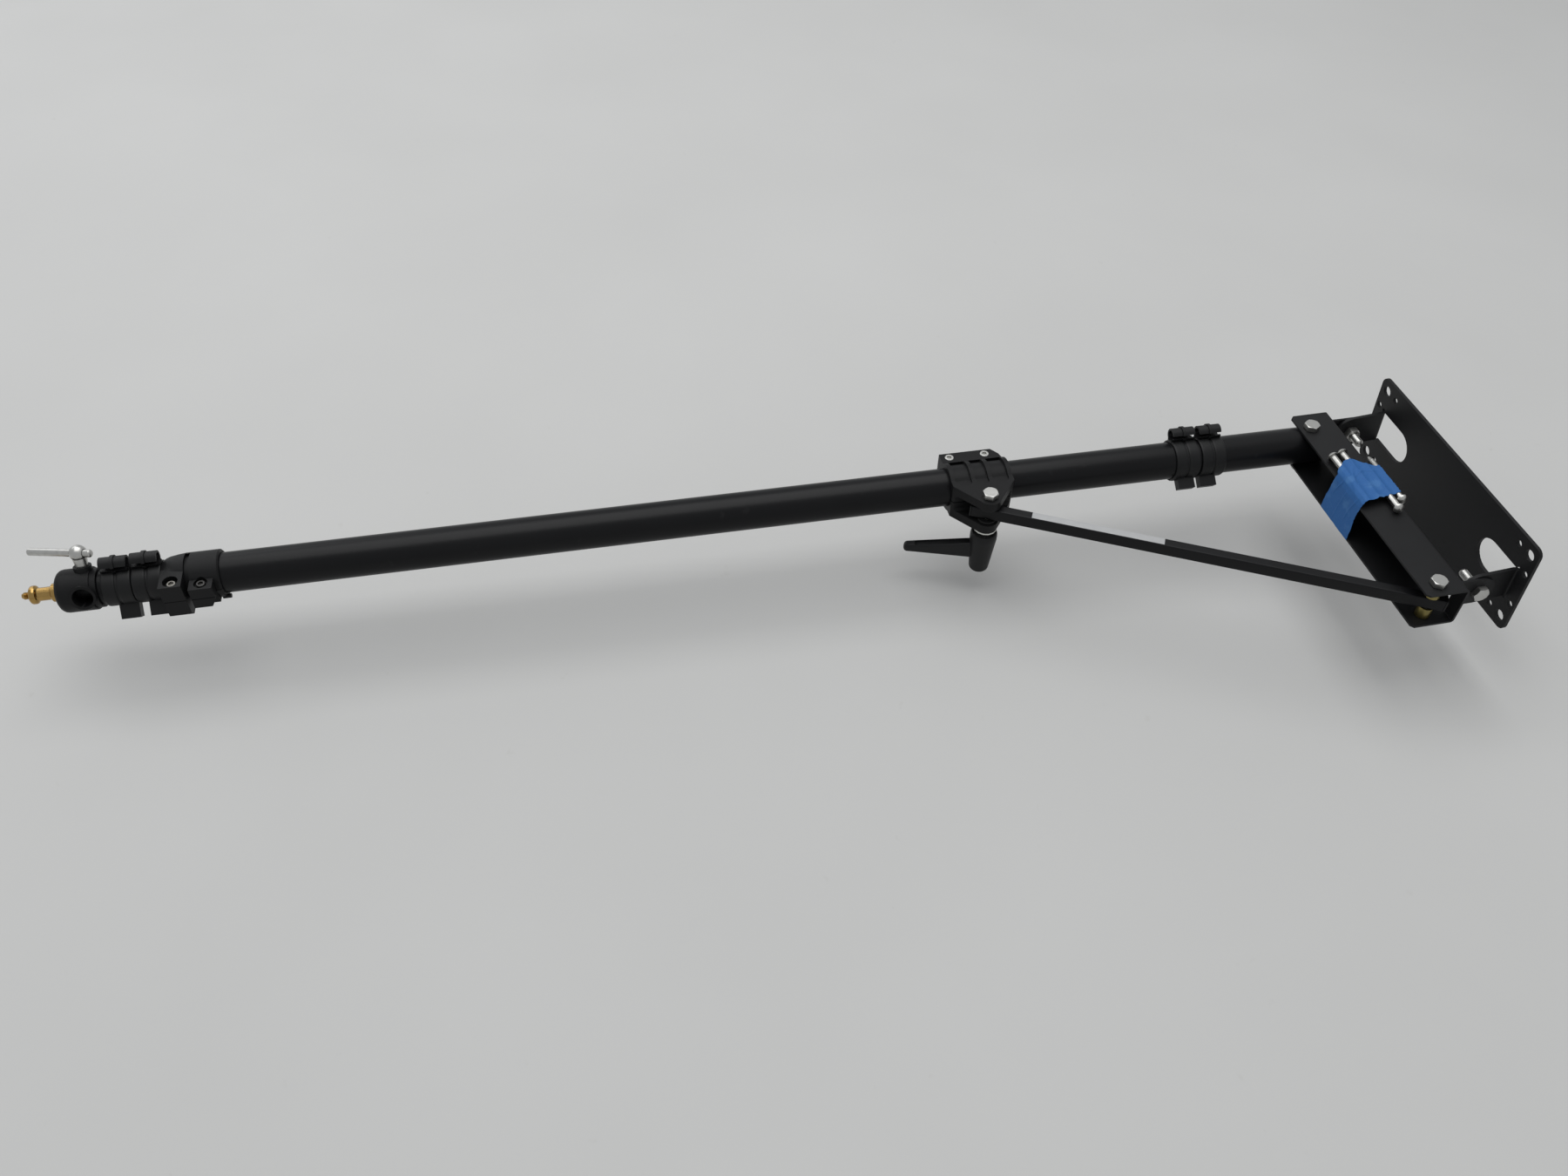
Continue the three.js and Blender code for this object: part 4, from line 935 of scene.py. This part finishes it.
def tilt_clamp_half(node, way):
    piece = copied(node, node + "_cast")
    rib = (POCKET["pitch"] - POCKET["rib"]) / 2
    wall = POCKET["wall"]
    outer = POCKET["ring"] - POCKET["band"] + OVERRUN
    inner = outer - OVERRUN - POCKET["deep"]
    spans = (
        (-CLAMP_HALF + POCKET["rim"], -rib - POCKET["rib"]),
        (-rib, rib),
        (rib + POCKET["rib"], CLAMP_HALF - POCKET["rim"]),
    )
    middle = CLAMP @ Matrix.Translation((0, 0, CLAMP_DROP))
    for start, end in spans:
        start, end = start + wall, end - wall
        band = [(inner, -end), (outer, -end), (outer, -start), (inner, -start), (inner, -end)]
        pocket = lathe("pocket", band, middle, TUBE_STEPS)
        low, high = sorted((POCKET["parting"] * way, 2 * POCKET["ring"] * way))
        keep = block("keep", (low, start - OVERRUN, -POCKET["low"]), (high, end + OVERRUN, POCKET["high"]))
        placed(keep, middle)
        combined(pocket, "INTERSECT", [keep])
        cut(piece, pocket)
    softened(piece, CAST_EDGE)
    dressed(piece, node)


# Swivel bolts: a hex head, a plain shank and a thread that passes the nut
SWIVEL = {
    "shank": 4 * MM,
    "head": 5.3 * MM,
    "head_spare": 0.4 * MM,
    "pitch": 1.25 * MM,
    "depth": 0.55 * MM,
    "thread_start_share": 0.3,
    "tip_ease": 1.1 * MM,
}


def swivel_bolt(node):
    """The frame's own head with a threaded shank in the place of the plain one."""
    piece = copied(node, node + "_threaded")
    low, high = span(node, BRACKET)
    out = 1 if high.z > 0 else -1
    tip = low.z if out > 0 else high.z
    seat = (high.z if out > 0 else low.z) - out * SWIVEL["head"]
    middle = (low + high) / 2
    inward = facing(Vector((0, 0, -out)), BRACKET @ Vector((middle.x, middle.y, seat)))
    length = abs(seat - tip)
    shank, spare, past = SWIVEL["shank"], SWIVEL["head_spare"], length + OVERRUN
    thread_start = SWIVEL["thread_start_share"] * length
    thread_end = length - OVERRUN
    kept = [
        (shank, spare),
        *thread(shank, thread_start, thread_end, SWIVEL["pitch"], SWIVEL["depth"]),
        (shank - SWIVEL["tip_ease"], length),
    ]
    around = [(2 * shank, spare), (2 * shank, past), (0, past), (0, length)]
    sleeve = [*around, *reversed(kept), around[0]]
    cut(piece, lathe("sleeve", sleeve, inward, SMALL_STEPS))
    softened(piece, 0)
    dressed(piece, node)


# Wall plate: the frame's folded sheet, with its screw holes eased so that light shows through them
PILOT_EASED = 3.2 * MM
PILOT_ROWS = ((37.5 * MM, 100 * MM), (18.5 * MM, 119.3 * MM))
PILOT_FRONT = 9 * MM
PILOT_BACK = 5 * MM


def wall_plate():
    piece = copied("wall_plate", "wall_plate_folded")
    into_wall = Vector((0, 1, 0))
    for aside, along in PILOT_ROWS:
        for x in (-aside, aside):
            for z in (-along, along):
                hole = facing(into_wall, Vector((x, 0, z)))
                cut(piece, rod("pilot", PILOT_EASED, -PILOT_FRONT, PILOT_BACK, hole, SMALL_STEPS))
    softened(piece, SHEET_EDGE)
    dressed(piece, "wall_plate")


# Screws with a hexagon socket
KEY = {"half": 2.3 * MM, "depth": 1.7 * MM, "sides": 6}
CORE = 2.5 * MM
CORE_EASE = 0.5 * MM
HEAD_ROUND = 0.45 * MM
HEAD_EDGE = 0.12 * MM
# Each screw with the frame that it lies in and the height of its head
SOCKET_SCREWS = {
    "tilt_clamp_screw_front": (CLAMP, 3 * MM),
    "tilt_clamp_screw_rear": (CLAMP, 3 * MM),
    "lock_collar_screw_front": (BOOM, 2.2 * MM),
    "lock_collar_screw_rear": (BOOM, 2.2 * MM),
}


def socket_screw(node):
    place, head = SOCKET_SCREWS[node]
    here, start, end = beside(node, place)
    low, high = span(node, place)
    radius = (high.z - low.z) / 2
    profile = [
        (0, start),
        (CORE - CORE_EASE, start),
        (CORE, start + CORE_EASE),
        (CORE, end - head),
        (radius, end - head),
        (radius, end - HEAD_ROUND),
        (radius - HEAD_ROUND, end),
        (0, end),
    ]
    piece = lathe(node + "_turned", profile, here, SMALL_STEPS)
    cut(piece, rod("key", KEY["half"], end - KEY["depth"], end + OVERRUN, here, KEY["sides"]))
    softened(piece, HEAD_EDGE)
    dressed(piece, node)


# Spare screws, with a domed head, a cross recess and a thread
SPARE = {
    "shank": 3 * MM,
    "head": 5 * MM,
    "rise": 4 * MM,
    "pitch": 1.6 * MM,
    "depth": 0.5 * MM,
    "slot_half": 0.5 * MM,
    "slot_wide_share": 0.55,
    "slot_floor_share": 0.45,
}
# The head's dome: shares of its radius and of its rise
DOME_SHARES = ((0.0, 1.0), (0.30, 0.97), (0.58, 0.84), (0.80, 0.62), (0.95, 0.32), (1.0, 0.1))
# Where the thread starts and ends and where the point begins, as shares of the shank's length
SPARE_PLAIN_SHARE = 0.3
SPARE_THREAD_SHARES = (0.31, 0.9)
SPARE_POINT_SHARES = (0.5, 0.96)
SPARE_WAYS = {"spare_screw_1": -1, "spare_screw_2": -1, "spare_screw_3": 1, "spare_screw_4": 1}
SPARE_LINES = sorted(-sum(corner.y for corner in span(node, BRACKET)) / 2 for node in SPARE_WAYS)


def spare_screw(node):
    low, high = span(node, BRACKET)
    middle = (low + high) / 2
    length = high.z - low.z - SPARE["rise"]
    way = SPARE_WAYS[node]
    seat = high.z - SPARE["rise"] if way < 0 else low.z + SPARE["rise"]
    place = facing(Vector((0, 0, way)), BRACKET @ Vector((middle.x, middle.y, seat)))
    head, rise, shank = SPARE["head"], SPARE["rise"], SPARE["shank"]
    thread_start, thread_end = (share * length for share in SPARE_THREAD_SHARES)
    point, point_start = SPARE_POINT_SHARES
    profile = [
        *((out * head, -up * rise) for out, up in DOME_SHARES),
        (head, 0),
        (shank, 0),
        (shank, SPARE_PLAIN_SHARE * length),
        *thread(shank, thread_start, thread_end, SPARE["pitch"], SPARE["depth"]),
        (point * shank, point_start * length),
        (0, length),
    ]
    piece = lathe(node + "_turned", profile, place, SMALL_STEPS)
    wide, thin, floor = SPARE["slot_wide_share"] * head, SPARE["slot_half"], SPARE["slot_floor_share"] * rise
    for x, z in ((wide, thin), (thin, wide)):
        slot = block("slot", (-x, floor, -z), (x, 2 * rise, z))
        placed(slot, place)
        cut(piece, slot)
    softened(piece, 0)
    dressed(piece, node)


# Masking tape: one creased strip over the screws, down the open side and back under
TAPE = {
    "rear": 24.6 * MM,
    "front": 64.75 * MM,
    "top": 28.55 * MM,
    "low": 20.25 * MM,
    "shoulder": 3.2 * MM,
    "turn_back": 11.5 * MM,
    "thick": 0.16 * MM,
    "ridge": 0.55 * MM,
    "tear": 0.7 * MM,
}
TAPE_ROWS = 168
TAPE_COLUMNS = 110
# Places along the strip, as a share of its length, with the z of its upper and lower edge in mm
TAPE_EDGES = (
    (0.00, 27.5, -9.5),
    (0.10, 32.5, -10.4),
    (0.20, 41.5, -11.6),
    (0.28, 41.5, -13.0),
    (0.38, 33.5, -14.6),
    (0.45, 29.0, -14.9),
    (0.60, 30.5, -13.6),
    (0.75, 32.0, -14.8),
    (0.88, 32.4, -15.2),
    (1.00, 31.0, -13.8),
)
# Creases: where each starts and ends, as shares along and across the strip, its width and its rise
TAPE_CREASES = (
    (0.05, 0.80, 0.36, 0.55, 0.020, 1.0),
    (0.12, 0.20, 0.34, 0.42, 0.016, 0.7),
    (0.22, 0.95, 0.42, 0.30, 0.022, 0.9),
    (0.34, 0.70, 0.62, 0.86, 0.018, 0.8),
    (0.40, 0.16, 0.74, 0.30, 0.020, 0.7),
    (0.46, 0.52, 0.86, 0.60, 0.015, 0.5),
)


def between(table, share):
    """Values between the rows of a table whose first column climbs."""
    for low, high in zip(table, table[1:]):
        if share <= high[0]:
            part = (share - low[0]) / (high[0] - low[0])
            part = part * part * (3 - 2 * part)
            return [a + (b - a) * part for a, b in zip(low[1:], high[1:])]
    return list(table[-1][1:])


def tape_line():
    """The strip's course seen along the channel, as (x, y, length so far)."""
    top, low, front = TAPE["top"], TAPE["low"], TAPE["front"]
    shoulder = TAPE["shoulder"]
    corners = [
        (top, -TAPE["rear"]),
        (top, -front + 2.2 * shoulder),
        (top - 0.35 * shoulder, -front + 1.1 * shoulder),
        (top - 1.3 * shoulder, -front + 0.35 * shoulder),
        (low - 0.4 * shoulder, -front),
        (0, -front),
        (-low + 0.3 * shoulder, -front),
        (-low, -front + 0.3 * shoulder),
        (-low, -front + TAPE["turn_back"]),
    ]
    line = [(*corners[0], 0.0)]
    for before, after in zip(corners, corners[1:]):
        line.append((*after, line[-1][2] + math.dist(before, after)))
    return line


def on_line(line, length):
    """The point and the outward direction at a length along the strip's course."""
    for before, after in zip(line, line[1:]):
        if length <= after[2] + WELD:
            part = (length - before[2]) / (after[2] - before[2])
            x = before[0] + (after[0] - before[0]) * part
            y = before[1] + (after[1] - before[1]) * part
            along = Vector((after[0] - before[0], after[1] - before[1], 0)).normalized()
            return Vector((x, y, 0)), Vector((-along.y, along.x, 0))
    return Vector((*line[-1][:2], 0)), Vector((-1, 0, 0))


def crease_rise(share, side):
    """How far the creases lift the paper at a place given as shares along and across the strip."""
    rise = 0.0
    for start, start_side, end, end_side, width, height in TAPE_CREASES:
        line = Vector((end - start, end_side - start_side))
        point = Vector((share - start, side - start_side))
        part = min(1.0, max(0.0, point.dot(line) / line.length_squared))
        apart = (point - line * part).length
        fade = math.sin(math.pi * (0.12 + 0.76 * part))
        rise = max(rise, height * fade * math.exp(-((apart / width) ** 2)))
    return rise


def sag(along_y):
    """How far the paper dips between the screws' shanks."""
    depth = 0.0
    for low, high in zip(SPARE_LINES, SPARE_LINES[1:]):
        if low < along_y < high:
            share = (along_y - low) / (high - low)
            depth = 0.16 * min(high - low, 9 * MM) * math.sin(math.pi * share)
    return depth


def paper_lift(share, side):
    """How far the paper stands off its course, with its soft waves and creases."""
    waves = noise.noise(Vector((share * 9, side * 5, 0.3)))
    ripples = noise.noise(Vector((share * 23, side * 13, 2.2)))
    return TAPE["ridge"] * (0.30 * (1 + waves + 0.5 * ripples) + 1.3 * crease_rise(share, side))


def paper_point(line, share, side):
    """A place in the paper, given as shares along and across the strip, in the channel's frame."""
    upper, lower = between(TAPE_EDGES, share)
    point, outward = on_line(line, share * line[-1][2])
    end = min(share, 1 - share)
    torn = TAPE["tear"] * noise.noise(Vector((side * 26, share * 3, 1.7))) * max(0, 1 - 12 * end)
    rim = (abs(side - 0.5) * 2) ** 6
    edge = TAPE["tear"] * noise.noise(Vector((share * 40, round(side), 4.1))) * rim
    dip = sag(-point.y) if point.x > TAPE["low"] + TAPE["shoulder"] else 0
    place = point + outward * (paper_lift(share, side) - dip)
    z = (lower + (upper - lower) * side) * MM + edge
    return Vector((place.x, place.y + (torn if share < 0.5 else -torn), z))


def masking_tape():
    deselect()
    bpy.ops.mesh.primitive_grid_add(x_subdivisions=TAPE_COLUMNS, y_subdivisions=TAPE_ROWS, size=1)
    piece = bpy.context.view_layer.objects.active
    piece.name = "masking_tape_strip"
    piece.data.name = "masking_tape_strip"
    line = tape_line()
    for vertex in piece.data.vertices:
        vertex.co = BRACKET @ paper_point(line, vertex.co.y + 0.5, vertex.co.x + 0.5)
    take(piece)
    bpy.ops.object.mode_set(mode="EDIT")
    bpy.ops.mesh.select_all(action="SELECT")
    bpy.ops.mesh.normals_make_consistent(inside=False)
    bpy.ops.object.mode_set(mode="OBJECT")
    middle = piece.data.polygons[len(piece.data.polygons) // 2]
    outer = (BRACKET.inverted().to_3x3() @ middle.normal).y < 0
    modified(piece, "SOLIDIFY", thickness=TAPE["thick"], offset=-1 if outer else 1)
    bpy.ops.object.shade_smooth_by_angle(angle=SHARP_ANGLE)
    dressed(piece, "masking_tape")


# Pieces that keep the frame's own shape, with their edges rounded
EDGES = {
    "swivel_channel": SHEET_EDGE,
    "lock_collar_upper": CAST_EDGE,
    "lock_collar_lower": CAST_EDGE,
}


def dress_copies():
    for node, slot in SLOTS.items():
        if node in DRESSED:
            continue
        piece = copied(node, node + "_finished")
        softened(piece, EDGES.get(node, BOLT_EDGE if slot == "zinc" else TRIM_EDGE))
        dressed(piece, node)


def boom_arm():
    boom_tubes()
    end_socket()
    spigot()
    t_screw()
    t_bar()
    for node in CLIPS:
        cable_clip(node)
    lever_handle()
    wall_plate()
    tilt_clamp_half("tilt_clamp_upper", 1)
    tilt_clamp_half("tilt_clamp_lower", -1)
    swivel_bolt("upper_swivel_bolt")
    swivel_bolt("lower_swivel_bolt")
    for node in SOCKET_SCREWS:
        socket_screw(node)
    for node in SPARE_WAYS:
        spare_screw(node)
    masking_tape()
    dress_copies()


# Floor, lights and camera, set as the photograph was taken
FLOOR_RISE = 0.0896
FLOOR_PLACE = Vector((-0.0515, 0, 0))
FLOOR_MIDDLE = -0.6
FLOOR_SIZE = 12.0
FLOOR_STEPS = 8
CAMERA_PLACE = Vector((0.8468, -0.7284, -0.7404))
CAMERA_RIGHT = Vector((-0.06054, 0.97693, -0.20482))
CAMERA_DOWN = Vector((-0.68224, -0.19028, -0.70594))
CAMERA_FORWARD = Vector((-0.72862, 0.09700, 0.67801))
CAMERA_LENS = 29.478
CAMERA_SENSOR = 36.0
CAMERA_FAR = 100
ROOM_TINT = (0.96, 0.98, 1.0, 1)
ROOM_LIGHT = 0.5


def pale_floor():
    """A pale floor that shows from above and lets a camera under it look through."""
    deselect()
    bpy.ops.mesh.primitive_grid_add(x_subdivisions=FLOOR_STEPS, y_subdivisions=FLOOR_STEPS, size=FLOOR_SIZE)
    floor = bpy.context.view_layer.objects.active
    floor.name = "pale_floor"
    normal = Vector((1, FLOOR_RISE, 0)).normalized()
    turn = Vector((0, 0, 1)).rotation_difference(normal).to_matrix().to_4x4()
    placed(floor, Matrix.Translation(FLOOR_PLACE + Vector((0, FLOOR_MIDDLE, 0))) @ turn)
    finish = Finish("pale_floor_paint", specular=0.2)
    cloud = finish.noise(3.0, 4.0)
    speck = finish.ramp(finish.noise(60, 5.0), 0.70, 0.80)
    body = finish.mix(cloud, (0.495, 0.495, 0.487), (0.545, 0.545, 0.537))
    finish.wear(finish.mix(speck * 0.2, body, (0.40, 0.39, 0.37)), 0.7 + 0.1 * cloud)
    back = finish.node("ShaderNodeNewGeometry", output="Backfacing")
    through = finish.node("ShaderNodeBsdfTransparent")
    paint = Shade(finish, finish.shader.outputs[0])
    shell = finish.node("ShaderNodeMixShader", sockets=[back, paint, through])
    output = finish.tree.nodes["Material Output"]
    finish.tree.links.new(shell.socket, output.inputs["Surface"])
    floor.data.materials.append(finish.material)


def soft_light(name, place, target, size, power, tint=(1, 1, 1)):
    deselect()
    bpy.ops.object.light_add(type="AREA", location=place)
    light = bpy.context.view_layer.objects.active
    light.name = name
    light.data.size = size
    light.data.energy = power
    light.data.color = tint
    aim = (Vector(target) - Vector(place)).to_track_quat("-Z", "Y")
    light.rotation_euler = aim.to_euler()


def studio():
    pale_floor()
    middle = (0.05, FLOOR_MIDDLE, 0.0)
    soft_light("high_soft_light", (3.2, -0.35, 0.75), middle, 3.4, 78)
    soft_light("far_soft_light", (1.5, -2.1, 2.0), middle, 1.8, 10, (0.97, 0.98, 1.0))
    world = bpy.data.worlds.new("soft_room")
    world.use_nodes = True
    room = world.node_tree.nodes["Background"]
    room.inputs["Color"].default_value = ROOM_TINT
    room.inputs["Strength"].default_value = ROOM_LIGHT
    bpy.context.scene.world = world


def photo_camera():
    deselect()
    bpy.ops.object.camera_add()
    camera = bpy.context.view_layer.objects.active
    camera.name = "photo_camera"
    turn = Matrix((CAMERA_RIGHT, -CAMERA_DOWN, -CAMERA_FORWARD)).transposed()
    camera.matrix_world = Matrix.Translation(CAMERA_PLACE) @ turn.to_4x4()
    camera.data.sensor_width = CAMERA_SENSOR
    camera.data.lens = CAMERA_LENS
    camera.data.clip_end = CAMERA_FAR
    bpy.context.scene.camera = camera


boom_arm()
studio()
photo_camera()
bpy.context.scene.view_settings.view_transform = "Standard"
